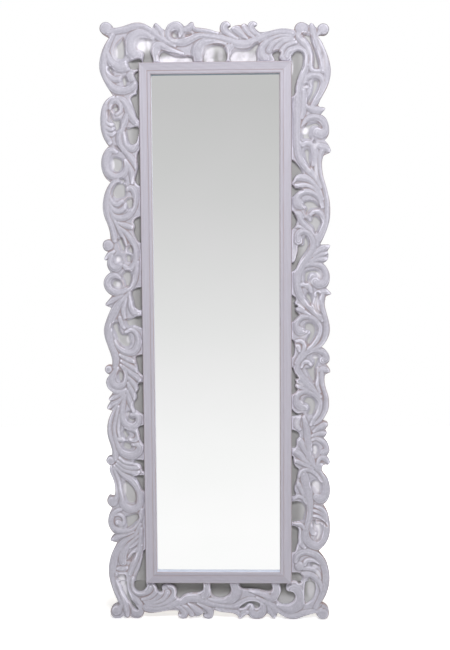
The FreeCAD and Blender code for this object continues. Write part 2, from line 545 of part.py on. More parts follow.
def mitre_ends(body, label, run):
    """Cuts both ends at 45 degrees, so that the inner edge is shorter than the outer one."""
    plane = [f for f in body.Origin.OriginFeatures if f.Role == "XZ_Plane"][0]
    sketch = body.newObject("Sketcher::SketchObject", label + "_mitres")
    sketch.AttachmentSupport = [(plane, "")]
    sketch.MapMode = "FlatFace"
    wide = size("mould_w") + SPARE
    length = size(run)
    for end, inward in ((0, 1), (length, -1)):
        corners = [(-SPARE, end - inward * SPARE), (wide, end + inward * wide), (wide, end - inward * SPARE)]
        first = sketch.GeometryCount
        for i in range(3):
            start = FreeCAD.Vector(*corners[i], 0)
            stop = FreeCAD.Vector(*corners[(i + 1) % 3], 0)
            sketch.addGeometry(Part.LineSegment(start, stop))
        for i in range(3):
            sketch.addConstraint(Sketcher.Constraint("Coincident", first + i, 2, first + (i + 1) % 3, 1))
    pocket = body.newObject("PartDesign::Pocket", label + "_mitre_cut")
    pocket.Profile = sketch
    pocket.Type = "ThroughAll"
    pocket.Midplane = True


def base_frame(*fixings):
    """Plain boards behind the carving, butted and dowelled, that carry everything else."""
    stile_w = "( base_out_w - base_open_w ) / 2"
    stile_h = "base_top - base_foot"
    rail_x = "-1 * base_open_w / 2"
    boards = {
        "base_left_stile": (stile_w, stile_h, "-1 * base_out_w / 2", "base_foot"),
        "base_right_stile": (stile_w, stile_h, "base_open_w / 2", "base_foot"),
        "base_top_rail": ("base_open_w", "base_top - base_open_top", rail_x, "base_open_top"),
        "base_bottom_rail": ("base_open_w", "base_open_foot - base_foot", rail_x, "base_foot"),
    }
    for label, (length, height, x, z) in boards.items():
        board = box(label + "_board", length, "base_t", height, x, "seat_y", z)
        piece(cut(label, board, *fixings), label)


def base_dowels():
    rows = ("base_foot + dowel_in", "base_open_foot - dowel_in",
            "base_open_top + dowel_in", "base_top - dowel_in")
    shapes = []
    for side, sign in SIDES.items():
        for i, z in enumerate(rows):
            x = "%d * base_open_w / 2 - dowel_l / 2" % sign
            name = "dowel_%s_%d" % (side, i)
            shapes.append(cylinder(name, "dowel_r", "dowel_l", x, "seat_y + base_t / 2", z, TO_SIDE))
    return piece(joined("base_dowels", shapes), "base_dowels")


def glass_and_slips():
    width = "mould_out_w - 2 * ( mould_w - glass_lap )"
    height = "mould_out_h - 2 * ( mould_w - glass_lap )"
    foot = "mould_foot + mould_w - glass_lap"
    back = "seat_y - slip_t"
    left = "-1 * mould_out_w / 2 + mould_w - glass_lap"
    piece(box("mirror_glass", width, "glass_t", height, left, back + " - glass_t", foot), "mirror_glass")
    up_h = height + " - 2 * slip_in"
    across_w = width + " - 2 * slip_in - 2 * slip_w"
    near = left + " + slip_in"
    inner = near + " + slip_w"
    far = "-1 * ( " + left + " ) - slip_in - slip_w"
    low = foot + " + slip_in"
    high = foot + " + " + height + " - slip_in - slip_w"
    strips = [
        box("slip_left", "slip_w", "slip_t", up_h, near, back, low),
        box("slip_right", "slip_w", "slip_t", up_h, far, back, low),
        box("slip_low", across_w, "slip_t", "slip_w", inner, back, low),
        box("slip_high", across_w, "slip_t", "slip_w", inner, back, high),
    ]
    group = doc.addObject("Part::Compound", "glass_slips")
    group.Links = strips
    piece(group, "glass_slips")


def back_panel():
    """A thin panel over the opening in the base frame, screwed all round."""
    half_w = "panel_w / 2 - panel_screw_in"
    low = size("base_open_foot") / 2 + size("base_open_top") / 2 - size("panel_h") / 2
    high = low + size("panel_h")
    inset = size("panel_screw_in")
    spots = [("%d * ( %s )" % (sign, half_w), z) for sign in SIDES.values() for z in PANEL_SCREWS_UP]
    spots += [(x, z) for z in (low + inset, high - inset) for x in PANEL_SCREWS_ACROSS]
    y = "seat_y + base_t + panel_t"
    fixings = screws("back_panel_screws", spots, y,
                     "panel_screw_r", "panel_screw_l", "panel_head_r", "panel_head_t")
    board = box("panel_board", "panel_w", "panel_t", "panel_h", "-1 * panel_w / 2", "seat_y + base_t",
                "( base_open_foot + base_open_top - panel_h ) / 2")
    piece(cut("back_panel", board, fixings), "back_panel")
    return fixings


def mending_plates():
    """Flat steel plates over the four joints of the base frame."""
    rows = {"low": "( base_foot + base_open_foot ) / 2", "high": "( base_open_top + base_top ) / 2"}
    steps = [size("plate_screw_in") + i * size("plate_screw_step") for i in range(2)]
    steps += [size("plate_l") - step for step in steps]
    boards = []
    spots = []
    for side, sign in SIDES.items():
        start = "%d * base_open_w / 2 - plate_l / 2" % sign
        for row, z in rows.items():
            name = "plate_%s_%s" % (side, row)
            foot = z + " - plate_w / 2"
            boards.append(box(name, "plate_l", "plate_t", "plate_w", start, "seat_y + base_t", foot))
            spots += [(start + " + %g" % step, z) for step in steps]
    y = "seat_y + base_t + plate_t"
    fixings = screws("plate_screws", spots, y,
                     "wood_screw_r", "plate_screw_l", "wood_head_r", "plate_head_t")
    group = doc.addObject("Part::Compound", "mending_plates_blank")
    group.Links = boards
    piece(cut("mending_plates", group, fixings), "mending_plates")
    return fixings


def hangers():
    """A strap with a rolled eye on each stile, and a D ring that hangs from the eye down over the strap."""
    spots = []
    blanks = {}
    y = "seat_y + base_t"
    eye_y = y + " + eye_r"
    eye_z = "strap_foot + strap_h"
    for side, sign in SIDES.items():
        x = "%d * strap_x" % sign
        start = x + " - strap_w / 2"
        strap = box("strap_%s" % side, "strap_w", "strap_t", "strap_h", start, y, "strap_foot")
        roll = cylinder("eye_%s" % side, "eye_r", "strap_w", start, eye_y, eye_z, TO_SIDE)
        bore = cylinder("bore_%s" % side, "eye_bore_r", "strap_w", start, eye_y, eye_z, TO_SIDE)
        blanks[side] = cut("eye_%s" % side, joined("roll_%s" % side, [strap, roll]), bore)
        spots += [(x, "strap_foot + strap_screw_low"), (x, "strap_foot + strap_screw_high")]
        bar = cylinder("bar_%s" % side, "wire_r", "2 * ring_r", x + " - ring_r", eye_y, eye_z, TO_SIDE)
        bow = doc.addObject("Part::Torus", "bow_%s" % side)
        bind(bow, Radius1="ring_r", Radius2="wire_r")
        bow.Angle3 = 180
        place(bow, x, eye_y, eye_z, FreeCAD.Rotation(X, -90))
        ends = []
        for end, end_sign in SIDES.items():
            ball = doc.addObject("Part::Sphere", "bend_%s_%s" % (side, end))
            bind(ball, Radius="wire_r")
            ends.append(place(ball, x + " + %d * ring_r" % end_sign, eye_y, eye_z))
        piece(joined("ring_%s" % side, [bar, bow] + ends), "hanger_ring_" + side)
    fixings = screws("hanger_screws", spots, y + " + strap_t",
                     "wood_screw_r", "strap_screw_l", "wood_head_r", "strap_t")
    for side, blank in blanks.items():
        piece(cut("hanger_strap_%s" % side, blank, fixings), "hanger_strap_" + side)
    return fixings


def wall_bumpers():
    shapes = []
    for side, sign in SIDES.items():
        for row in ("bumper_low", "bumper_high"):
            top = "seat_y + base_t + bumper_t"
            name = "%s_%s" % (row, side)
            shapes.append(cylinder(name, "bumper_r", "bumper_t", "%d * bumper_x" % sign, top, row, TO_FRONT))
    group = doc.addObject("Part::Compound", "wall_bumpers")
    group.Links = shapes
    piece(group, "wall_bumpers")


def frame_screws():
    """Screws through the base frame into the carved boards and into the moulding."""
    y = "seat_y + base_t"
    side_x = "mould_out_w / 2 - mould_screw_in"
    rows = ("mould_foot + mould_screw_in", "mould_foot + mould_out_h - mould_screw_in")
    spots = [("%d * ( %s )" % (sign, side_x), z) for sign in SIDES.values() for z in MOULD_SCREWS_UP]
    spots += [(x, z) for z in rows for x in MOULD_SCREWS_ACROSS]
    heads = ("wood_head_r", "wood_head_t")
    carving = screws("carving_screws", CARVING_SCREWS, y, "wood_screw_r", "carving_screw_l", *heads)
    mould = screws("moulding_screws", spots, y, "wood_screw_r", "mould_screw_l", *heads)
    return carving, mould


def write_pieces():
    doc.recompute()
    for obj in doc.Objects:
        if "Invalid" in obj.State or "Error" in obj.State:
            raise RuntimeError("%s is %s" % (obj.Label, obj.State))
    for obj in pieces:
        if obj.Shape.isNull() or not obj.Shape.isValid() or not obj.Shape.Solids:
            raise RuntimeError("%s has no sound shape" % obj.Label)
    os.makedirs("parts", exist_ok=True)
    for obj in pieces:
        obj.Shape.exportStep("parts/%s.step" % obj.Label)
        limits = obj.Shape.BoundBox
        print("%-20s %2d solids %10.0f mm3  x %.1f..%.1f  y %.1f..%.1f  z %.1f..%.1f" % (
            obj.Label, len(obj.Shape.Solids), obj.Shape.Volume, limits.XMin, limits.XMax,
            limits.YMin, limits.YMax, limits.ZMin, limits.ZMax))


fill_sheet()
carving_screws, moulding_screws = frame_screws()
dowels = base_dowels()
panel_screws = back_panel()
plate_screws = mending_plates()
hanger_screws = hangers()
carved_boards(carving_screws)
mouldings(moulding_screws)
base_frame(dowels, carving_screws, moulding_screws, panel_screws, plate_screws, hanger_screws)
glass_and_slips()
wall_bumpers()
write_pieces()
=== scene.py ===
import math

import bmesh
import bpy
import numpy as np
from mathutils import Matrix, Vector


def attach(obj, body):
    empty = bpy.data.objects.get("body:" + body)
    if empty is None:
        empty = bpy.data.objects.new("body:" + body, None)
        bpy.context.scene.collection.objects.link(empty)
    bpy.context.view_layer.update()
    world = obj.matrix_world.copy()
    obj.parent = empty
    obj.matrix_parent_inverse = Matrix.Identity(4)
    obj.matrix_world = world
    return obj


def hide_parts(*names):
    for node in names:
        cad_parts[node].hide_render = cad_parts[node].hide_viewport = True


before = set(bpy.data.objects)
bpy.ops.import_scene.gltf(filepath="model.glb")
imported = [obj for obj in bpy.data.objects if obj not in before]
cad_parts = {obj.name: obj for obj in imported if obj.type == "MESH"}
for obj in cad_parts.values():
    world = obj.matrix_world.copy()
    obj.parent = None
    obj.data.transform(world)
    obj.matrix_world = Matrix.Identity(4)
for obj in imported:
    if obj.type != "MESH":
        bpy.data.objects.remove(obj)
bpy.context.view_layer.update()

MM = 0.001


def box_of(name):
    """Least and greatest corner of a node of the frame, in millimetres."""
    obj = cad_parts[name]
    corners = np.array([obj.matrix_world @ v.co for v in obj.data.vertices])
    return corners.min(0) / MM, corners.max(0) / MM


# The carving below is drawn in millimetres, across and up, on a sheet a little out of true. Each point is
# moved by a shift that runs evenly between the sheet's corners, and by a bow that is greatest half way up.
SHEET_HALF_W = 345
SHEET_H = 1797
SHIFT_UPPER = {"left": (-1, 10), "right": (-4, 6)}
SHIFT_LOWER = {"left": (5, -1), "right": (-1, 2)}
SHEET_BOW = -2

# Carved ridges as points along each stem or leaf rib: across, up, full width
RIDGES_HEAD = [
    [(-312, 1768, 16), (-290, 1773, 17), (-262, 1778, 18), (-235, 1785, 19), (-212, 1785, 18),
     (-192, 1777, 19), (-176, 1766, 19), (-158, 1752, 18), (-138, 1740, 14), (-116, 1729, 9)],
    [(-180, 1752, 12), (-200, 1762, 20), (-222, 1764, 24), (-241, 1752, 26), (-248, 1731, 28),
     (-246, 1713, 27), (-234, 1702, 27), (-224, 1702, 26)],
    [(-172, 1687, 24), (-175, 1705, 26), (-172, 1722, 24), (-158, 1730, 19), (-138, 1721, 14),
     (-115, 1713, 10), (-92, 1706, 7)],
    [(-171, 1790, 6), (-163, 1780, 17), (-155, 1766, 14), (-148, 1748, 7)],
    [(-101, 1757, 9), (-97, 1772, 15), (-108, 1784, 21), (-122, 1783, 21), (-134, 1770, 16),
     (-135, 1755, 15), (-126, 1743, 15), (-110, 1738, 16), (-92, 1738, 18), (-75, 1744, 18),
     (-58, 1752, 16), (-38, 1757, 15), (-15, 1755, 16), (10, 1751, 16)],
    [(10, 1751, 16), (40, 1744, 18), (70, 1733, 20), (98, 1733, 21), (125, 1744, 20), (150, 1755, 18),
     (178, 1763, 20), (205, 1766, 20), (230, 1762, 18)],
    [(-62, 1792, 6), (-69, 1783, 15), (-80, 1777, 14), (-92, 1772, 8)],
    [(-61, 1788, 9), (-55, 1778, 13), (-38, 1772, 13), (-14, 1770, 13), (10, 1765, 9)],
    [(-45, 1687, 28), (-48, 1706, 31), (-46, 1722, 27), (-34, 1737, 20), (-14, 1742, 15), (10, 1740, 12),
     (34, 1733, 8)],
    [(44, 1687, 24), (38, 1703, 20), (40, 1718, 20), (52, 1729, 17)],
    [(47, 1787, 5), (36, 1789, 15), (29, 1780, 15), (34, 1768, 14), (48, 1758, 12), (68, 1748, 7)],
    [(56, 1778, 8), (67, 1774, 18), (82, 1761, 14), (97, 1748, 7)],
    [(87, 1785, 12), (92, 1775, 15), (103, 1762, 12), (118, 1752, 7)],
    [(127, 1786, 5), (114, 1788, 15), (109, 1777, 17), (119, 1764, 14), (136, 1756, 9)],
    [(228, 1755, 12), (190, 1755, 15), (160, 1742, 16), (141, 1722, 17), (139, 1703, 20), (150, 1690, 22)],
    [(230, 1749, 9), (195, 1745, 13), (172, 1732, 14), (162, 1715, 15)],
    [(234, 1744, 9), (208, 1740, 12), (190, 1728, 13), (180, 1716, 13)],
    [(240, 1737, 9), (218, 1731, 12), (203, 1718, 13), (198, 1703, 14), (205, 1689, 14)],
    [(214, 1696, 18), (222, 1711, 16), (245, 1719, 14), (264, 1711, 13), (271, 1694, 12), (270, 1672, 15)],
    [(258, 1770, 26), (248, 1756, 15), (254, 1745, 15), (267, 1734, 16), (279, 1715, 15),
     (285, 1693, 13), (283, 1672, 13)],
    [(287, 1788, 9), (290, 1774, 14), (296, 1750, 16), (304, 1724, 17), (311, 1700, 17), (316, 1678, 17),
     (319, 1656, 15)],
    [(312, 1766, 14), (305, 1752, 12), (313, 1733, 15), (324, 1708, 16), (331, 1682, 17), (333, 1655, 17)],
    [(281, 1672, 14), (289, 1657, 12), (302, 1654, 12), (315, 1655, 9)],
]
RIDGES_UPPER_LEFT = [
    [(-300, 1762, 14), (-312, 1740, 16), (-324, 1708, 18), (-329, 1675, 19), (-326, 1645, 19),
     (-314, 1622, 19), (-296, 1606, 19), (-272, 1601, 18), (-250, 1607, 17), (-236, 1621, 14)],
    [(-318, 1715, 12), (-311, 1692, 15), (-299, 1676, 18), (-280, 1668, 23), (-262, 1672, 26)],
    [(-321, 1668, 11), (-314, 1647, 13), (-299, 1634, 14), (-279, 1635, 13)],
]
RIDGES_LEFT = [
    [(-300, 1581, 10), (-316, 1573, 14), (-327, 1553, 18), (-330, 1528, 19), (-331, 1500, 18),
     (-326, 1474, 16), (-314, 1452, 13)],
    [(-292, 1534, 9), (-281, 1544, 12), (-280, 1561, 15), (-291, 1574, 17), (-306, 1569, 14),
     (-312, 1552, 10)],
    [(-288, 1580, 12), (-272, 1572, 17), (-261, 1556, 18), (-253, 1538, 20), (-243, 1521, 20),
     (-233, 1509, 15)],
    [(-330, 1524, 10), (-322, 1509, 10), (-311, 1503, 10), (-303, 1505, 8)],
    [(-331, 1508, 10), (-322, 1494, 11), (-310, 1489, 11), (-301, 1493, 8)],
    [(-330, 1490, 10), (-321, 1478, 11), (-308, 1475, 11), (-299, 1480, 8)],
    [(-260, 1532, 14), (-271, 1506, 16), (-281, 1480, 16), (-285, 1458, 16), (-278, 1438, 14),
     (-264, 1420, 12)],
    [(-272, 1478, 12), (-268, 1452, 15), (-258, 1437, 17), (-245, 1434, 17), (-236, 1446, 14),
     (-231, 1466, 10)],
    [(-296, 1424, 10), (-312, 1428, 16), (-326, 1413, 21), (-330, 1390, 21), (-324, 1367, 19),
     (-309, 1354, 18), (-290, 1352, 17), (-273, 1362, 15), (-265, 1380, 13), (-268, 1399, 9)],
    [(-270, 1427, 9), (-256, 1412, 15), (-245, 1396, 15), (-237, 1374, 6)],
    [(-266, 1397, 9), (-257, 1380, 13), (-250, 1361, 14), (-249, 1333, 8)],
    [(-284, 1345, 9), (-303, 1336, 14), (-317, 1314, 19), (-325, 1290, 21), (-327, 1262, 21),
     (-323, 1236, 18), (-315, 1210, 16), (-308, 1185, 15), (-305, 1165, 13)],
    [(-318, 1292, 10), (-309, 1276, 12), (-295, 1271, 12), (-281, 1280, 10)],
    [(-319, 1276, 10), (-309, 1257, 13), (-293, 1250, 13), (-277, 1258, 12), (-268, 1272, 9)],
    [(-319, 1257, 10), (-307, 1237, 14), (-287, 1230, 15), (-264, 1237, 15), (-249, 1256, 15),
     (-241, 1280, 15), (-241, 1302, 15), (-251, 1318, 15), (-266, 1315, 11)],
    [(-312, 1236, 8), (-299, 1214, 10), (-288, 1192, 11), (-277, 1170, 10), (-271, 1152, 7)],
    [(-294, 1217, 8), (-272, 1208, 14), (-252, 1203, 11)],
    [(-292, 1205, 8), (-275, 1190, 12), (-259, 1171, 14), (-247, 1150, 14), (-241, 1128, 14),
     (-243, 1106, 14), (-252, 1087, 15), (-265, 1080, 15), (-278, 1089, 11)],
    [(-308, 1132, 8), (-322, 1122, 12), (-336, 1109, 6)],
    [(-316, 1122, 11), (-320, 1101, 14), (-313, 1086, 16), (-300, 1082, 17), (-288, 1091, 13)],
    [(-239, 1100, 12), (-242, 1072, 13), (-248, 1046, 14), (-258, 1027, 14), (-275, 1014, 16),
     (-299, 1008, 17), (-321, 1018, 17), (-331, 1037, 17), (-322, 1055, 15), (-305, 1060, 13),
     (-292, 1053, 9)],
    [(-284, 1001, 8), (-310, 989, 13), (-335, 973, 6)],
    [(-266, 1008, 13), (-287, 986, 17), (-306, 960, 20), (-321, 933, 22), (-330, 905, 23),
     (-331, 878, 22), (-323, 850, 22), (-313, 825, 20), (-310, 802, 18), (-312, 785, 14)],
    [(-274, 992, 10), (-283, 962, 13), (-280, 934, 10)],
    [(-294, 934, 10), (-290, 917, 12), (-281, 903, 8)],
    [(-264, 1010, 10), (-262, 986, 11), (-260, 966, 12), (-251, 949, 14), (-237, 946, 15)],
    [(-310, 864, 8), (-302, 847, 13), (-288, 834, 15), (-270, 828, 15), (-252, 833, 17), (-241, 850, 17),
     (-239, 870, 15), (-246, 888, 12), (-260, 897, 11), (-276, 891, 9)],
    [(-296, 822, 9), (-274, 809, 15), (-253, 801, 10)],
    [(-292, 804, 9), (-272, 791, 13), (-252, 778, 12), (-245, 770, 6)],
    [(-287, 788, 9), (-269, 772, 14), (-251, 757, 15), (-238, 745, 12)],
    [(-276, 757, 9), (-265, 744, 14), (-253, 729, 13), (-247, 712, 7)],
    [(-273, 737, 9), (-266, 720, 14), (-257, 701, 13), (-253, 685, 7)],
    [(-276, 712, 10), (-271, 690, 15), (-263, 667, 13), (-258, 649, 8)],
    [(-306, 783, 12), (-316, 766, 15), (-324, 749, 18), (-319, 733, 17), (-305, 726, 16),
     (-290, 731, 14), (-282, 744, 13), (-279, 760, 13), (-283, 778, 11), (-294, 791, 9)],
    [(-335, 742, 9), (-329, 722, 12), (-314, 711, 14), (-295, 709, 13), (-280, 716, 9)],
    [(-331, 686, 6), (-312, 694, 14), (-295, 702, 12), (-281, 711, 8)],
    [(-336, 659, 6), (-320, 671, 14), (-301, 683, 14), (-286, 700, 10)],
    [(-311, 668, 10), (-325, 640, 15), (-332, 608, 15), (-331, 577, 15), (-322, 549, 15),
     (-317, 525, 15), (-317, 502, 14)],
    [(-304, 664, 10), (-313, 628, 12), (-318, 600, 12), (-316, 575, 12), (-311, 553, 11), (-303, 538, 9)],
    [(-300, 640, 8), (-304, 615, 10), (-306, 594, 10), (-303, 574, 8)],
    [(-283, 700, 12), (-291, 668, 14), (-294, 641, 14), (-288, 619, 16), (-275, 606, 16),
     (-258, 604, 16), (-246, 614, 15), (-243, 629, 14), (-251, 640, 12), (-264, 639, 9)],
    [(-283, 600, 9), (-264, 595, 13), (-249, 587, 14), (-246, 572, 13), (-255, 561, 12), (-269, 563, 8)],
    [(-313, 565, 8), (-301, 564, 14), (-290, 563, 11)],
    [(-313, 556, 8), (-308, 541, 12), (-298, 526, 15), (-280, 516, 19), (-260, 515, 20), (-245, 525, 19),
     (-240, 540, 16), (-250, 548, 12), (-264, 546, 8)],
    [(-304, 506, 9), (-287, 493, 10), (-266, 489, 8), (-250, 487, 5)],
    [(-309, 496, 9), (-290, 481, 12), (-268, 475, 12), (-250, 477, 13), (-241, 480, 9)],
    [(-312, 488, 9), (-296, 471, 11), (-275, 464, 11), (-256, 459, 14), (-245, 463, 9)],
    [(-320, 482, 9), (-305, 465, 11), (-288, 450, 14), (-270, 437, 16), (-255, 420, 16), (-246, 399, 16),
     (-243, 375, 17), (-248, 356, 18), (-263, 347, 19), (-281, 350, 20), (-296, 362, 16),
     (-300, 384, 12), (-304, 412, 11), (-309, 440, 10), (-322, 474, 9)],
    [(-331, 482, 10), (-329, 458, 14), (-321, 434, 15), (-315, 410, 15), (-314, 390, 16), (-322, 376, 18)],
    [(-302, 347, 9), (-318, 340, 12), (-331, 325, 14), (-335, 308, 14), (-330, 291, 14), (-316, 281, 14),
     (-300, 277, 14), (-281, 280, 14), (-265, 289, 15), (-252, 304, 15), (-243, 325, 14), (-239, 346, 10)],
    [(-327, 327, 7), (-311, 331, 10), (-298, 325, 10), (-292, 311, 10), (-300, 301, 13), (-313, 305, 14)],
    [(-335, 250, 6), (-320, 256, 14), (-304, 263, 11), (-284, 268, 9), (-264, 276, 8)],
    [(-244, 300, 10), (-258, 270, 12), (-279, 256, 13), (-299, 240, 16), (-315, 218, 18),
     (-326, 194, 19), (-332, 168, 20), (-333, 142, 19)],
    [(-250, 264, 10), (-268, 247, 12), (-284, 232, 14), (-296, 214, 18), (-301, 194, 20), (-299, 179, 17)],
    [(-244, 256, 9), (-260, 239, 12), (-277, 228, 9)],
    [(-242, 235, 10), (-255, 221, 12), (-270, 208, 11), (-279, 198, 8)],
    [(-242, 286, 11), (-245, 255, 14), (-247, 228, 15), (-254, 206, 15), (-262, 184, 15),
     (-272, 163, 14), (-280, 143, 15)],
    [(-318, 160, 9), (-303, 158, 16), (-288, 162, 11)],
]
RIDGES_RIGHT = [
    [(333, 1655, 17), (332, 1632, 18), (325, 1609, 19), (313, 1587, 17), (299, 1568, 15), (286, 1549, 12)],
    [(270, 1613, 16), (268, 1628, 13), (280, 1640, 14), (299, 1644, 15), (315, 1636, 14),
     (321, 1619, 14), (315, 1599, 14), (304, 1579, 13), (290, 1559, 11)],
    [(272, 1672, 15), (262, 1648, 20), (253, 1622, 20), (247, 1598, 20), (244, 1572, 20),
     (243, 1545, 20), (244, 1518, 19), (243, 1490, 17), (243, 1462, 17), (245, 1432, 17),
     (250, 1407, 17), (263, 1386, 17), (279, 1368, 17), (297, 1348, 15), (312, 1322, 13)],
    [(262, 1600, 14), (263, 1575, 17), (261, 1548, 18), (258, 1522, 12)],
    [(326, 1546, 5), (312, 1541, 17), (296, 1543, 18), (279, 1549, 14), (264, 1560, 9)],
    [(260, 1497, 9), (270, 1514, 13), (291, 1523, 14), (311, 1518, 16), (326, 1503, 17), (329, 1485, 18),
     (317, 1475, 24), (303, 1478, 24)],
    [(248, 1452, 10), (258, 1443, 12), (273, 1447, 13), (288, 1441, 14), (296, 1424, 18),
     (298, 1404, 16), (291, 1385, 11)],
    [(341, 1421, 4), (334, 1430, 15), (318, 1436, 17), (303, 1440, 12)],
    [(318, 1426, 14), (312, 1408, 14), (311, 1390, 13), (313, 1368, 13), (319, 1342, 14),
     (328, 1312, 15), (333, 1282, 16), (334, 1250, 15), (332, 1222, 15), (326, 1196, 15),
     (316, 1173, 13), (306, 1158, 9)],
    [(300, 1400, 9), (300, 1372, 10), (305, 1345, 9), (314, 1318, 8)],
    [(233, 1335, 6), (242, 1345, 13), (262, 1347, 17), (282, 1339, 15), (298, 1324, 13), (310, 1306, 12),
     (319, 1284, 10)],
    [(240, 1325, 7), (258, 1325, 11), (275, 1324, 11), (290, 1317, 11), (302, 1306, 10), (312, 1290, 9)],
    [(262, 1264, 14), (247, 1270, 24), (243, 1287, 16), (256, 1302, 14), (276, 1306, 14),
     (297, 1299, 14), (312, 1284, 13), (319, 1262, 11)],
    [(284, 1239, 9), (297, 1248, 12), (312, 1243, 13), (322, 1228, 14), (323, 1208, 13), (317, 1188, 14),
     (308, 1170, 14), (302, 1150, 14)],
    [(236, 1243, 9), (249, 1239, 15), (257, 1222, 16), (270, 1205, 14), (285, 1191, 14), (298, 1177, 14),
     (305, 1162, 12)],
    [(247, 1162, 20), (246, 1180, 15), (261, 1190, 16), (279, 1184, 16), (290, 1167, 17),
     (292, 1146, 18), (281, 1124, 23), (266, 1104, 25), (252, 1084, 23), (244, 1062, 19),
     (243, 1038, 17), (246, 1015, 17), (254, 996, 17), (267, 980, 17), (283, 963, 17), (298, 947, 15),
     (313, 930, 13)],
    [(240, 1203, 9), (252, 1203, 9), (264, 1196, 7)],
    [(342, 1146, 4), (325, 1140, 15), (307, 1131, 16), (292, 1118, 13)],
    [(335, 1127, 6), (318, 1121, 12), (300, 1113, 12), (282, 1100, 10)],
    [(335, 1108, 7), (317, 1107, 13), (298, 1104, 12), (280, 1094, 9)],
    [(262, 1084, 8), (272, 1090, 12), (291, 1093, 13), (312, 1088, 13), (327, 1074, 14), (332, 1055, 16),
     (325, 1038, 19), (310, 1032, 22), (297, 1040, 22)],
    [(250, 1030, 10), (265, 1031, 12), (279, 1024, 13), (285, 1010, 9)],
    [(344, 1003, 3), (331, 1009, 13), (315, 1009, 14), (301, 1003, 13)],
    [(318, 1004, 13), (316, 984, 14), (319, 962, 13), (326, 938, 13), (332, 915, 15), (333, 892, 16),
     (328, 868, 16), (317, 851, 15), (302, 841, 13), (286, 835, 10)],
    [(304, 984, 8), (303, 962, 11), (309, 942, 12), (318, 924, 9)],
    [(236, 974, 6), (248, 968, 10), (262, 958, 8)],
    [(239, 957, 5), (252, 956, 12), (266, 949, 11), (281, 940, 8)],
    [(266, 893, 14), (250, 892, 22), (240, 905, 14), (245, 924, 14), (262, 935, 14), (282, 934, 14),
     (300, 924, 13), (312, 905, 11), (311, 885, 11), (303, 867, 12), (291, 850, 12), (276, 837, 10)],
    [(240, 862, 8), (254, 862, 11), (264, 852, 11), (262, 832, 12), (251, 813, 13), (241, 796, 12)],
    [(286, 842, 9), (272, 828, 12), (257, 811, 13), (246, 795, 13), (242, 777, 18), (248, 760, 21),
     (259, 744, 23), (276, 727, 21), (293, 712, 17), (311, 693, 12)],
    [(238, 848, 7), (246, 845, 12), (250, 832, 9)],
    [(270, 823, 8), (290, 833, 11), (310, 833, 14), (326, 825, 16), (331, 811, 18), (321, 804, 18)],
    [(341, 768, 3), (333, 774, 13), (318, 776, 15), (307, 772, 10)],
    [(255, 784, 9), (262, 797, 11), (275, 799, 11), (285, 789, 8)],
    [(316, 777, 12), (316, 750, 13), (322, 724, 13), (330, 701, 13), (333, 677, 14), (330, 652, 15),
     (321, 632, 15), (307, 619, 12), (294, 610, 8)],
    [(303, 780, 8), (305, 752, 9), (304, 727, 11), (311, 708, 8)],
    [(236, 742, 5), (247, 738, 9), (258, 728, 8)],
    [(238, 728, 6), (252, 723, 11), (268, 715, 10), (283, 707, 7)],
    [(268, 662, 16), (251, 667, 24), (240, 680, 15), (246, 700, 13), (265, 709, 13), (285, 705, 13),
     (302, 694, 13), (312, 677, 12), (311, 658, 12), (304, 640, 13), (294, 624, 12), (284, 608, 9)],
    [(250, 634, 9), (243, 620, 14), (241, 606, 14), (249, 594, 10)],
    [(262, 632, 9), (269, 605, 14), (274, 576, 17), (276, 546, 20), (279, 516, 21), (287, 492, 17),
     (302, 474, 15), (317, 459, 15), (328, 437, 18), (332, 410, 19), (327, 387, 21), (313, 378, 22),
     (300, 384, 17)],
    [(335, 611, 5), (322, 605, 15), (307, 597, 13), (293, 587, 9)],
    [(332, 583, 5), (318, 580, 13), (301, 578, 13), (287, 573, 9)],
    [(284, 560, 9), (300, 566, 11), (317, 558, 13), (330, 545, 14), (333, 530, 15), (322, 522, 16)],
    [(340, 487, 5), (333, 500, 14), (320, 506, 14), (309, 500, 11), (303, 484, 11)],
    [(240, 567, 7), (252, 556, 16), (262, 540, 16), (271, 520, 12)],
    [(232, 527, 13), (248, 516, 17), (263, 501, 15), (280, 487, 12)],
    [(233, 497, 10), (250, 492, 13), (270, 483, 11), (290, 472, 8)],
    [(246, 448, 9), (256, 463, 11), (272, 469, 12), (289, 464, 12), (304, 451, 11), (318, 433, 9)],
    [(238, 432, 7), (247, 423, 12), (256, 406, 13), (262, 388, 9)],
    [(262, 455, 18), (268, 428, 22), (274, 400, 23), (279, 373, 19), (281, 346, 17), (280, 320, 16),
     (274, 295, 17), (267, 272, 19), (270, 252, 20), (284, 237, 20), (303, 231, 20), (320, 243, 19),
     (330, 264, 19), (333, 288, 17), (333, 312, 15), (327, 334, 13), (314, 348, 12), (296, 356, 8)],
    [(231, 379, 8), (247, 386, 11), (262, 379, 11), (270, 364, 9)],
    [(289, 343, 8), (307, 338, 11), (321, 328, 11), (331, 312, 8)],
    [(290, 326, 8), (309, 323, 10), (323, 315, 9), (333, 300, 7)],
    [(287, 304, 11), (283, 287, 12), (289, 273, 13), (298, 269, 10)],
    [(232, 304, 8), (245, 301, 12), (259, 292, 12), (268, 278, 8)],
    [(248, 286, 9), (250, 262, 13), (254, 240, 13), (264, 226, 10)],
]
RIDGES_LOWER_RIGHT = [
    [(300, 36, 14), (312, 57, 16), (324, 86, 18), (331, 118, 20), (332, 148, 20), (323, 175, 20),
     (307, 196, 18), (285, 209, 16), (262, 211, 15), (243, 201, 15), (237, 183, 12)],
    [(319, 88, 10), (313, 112, 13), (299, 131, 15), (280, 141, 16), (262, 141, 16)],
    [(264, 172, 11), (270, 184, 12), (285, 187, 11), (300, 182, 9), (312, 170, 7)],
    [(262, 160, 11), (279, 160, 12), (296, 154, 11), (308, 142, 9), (313, 128, 7)],
]

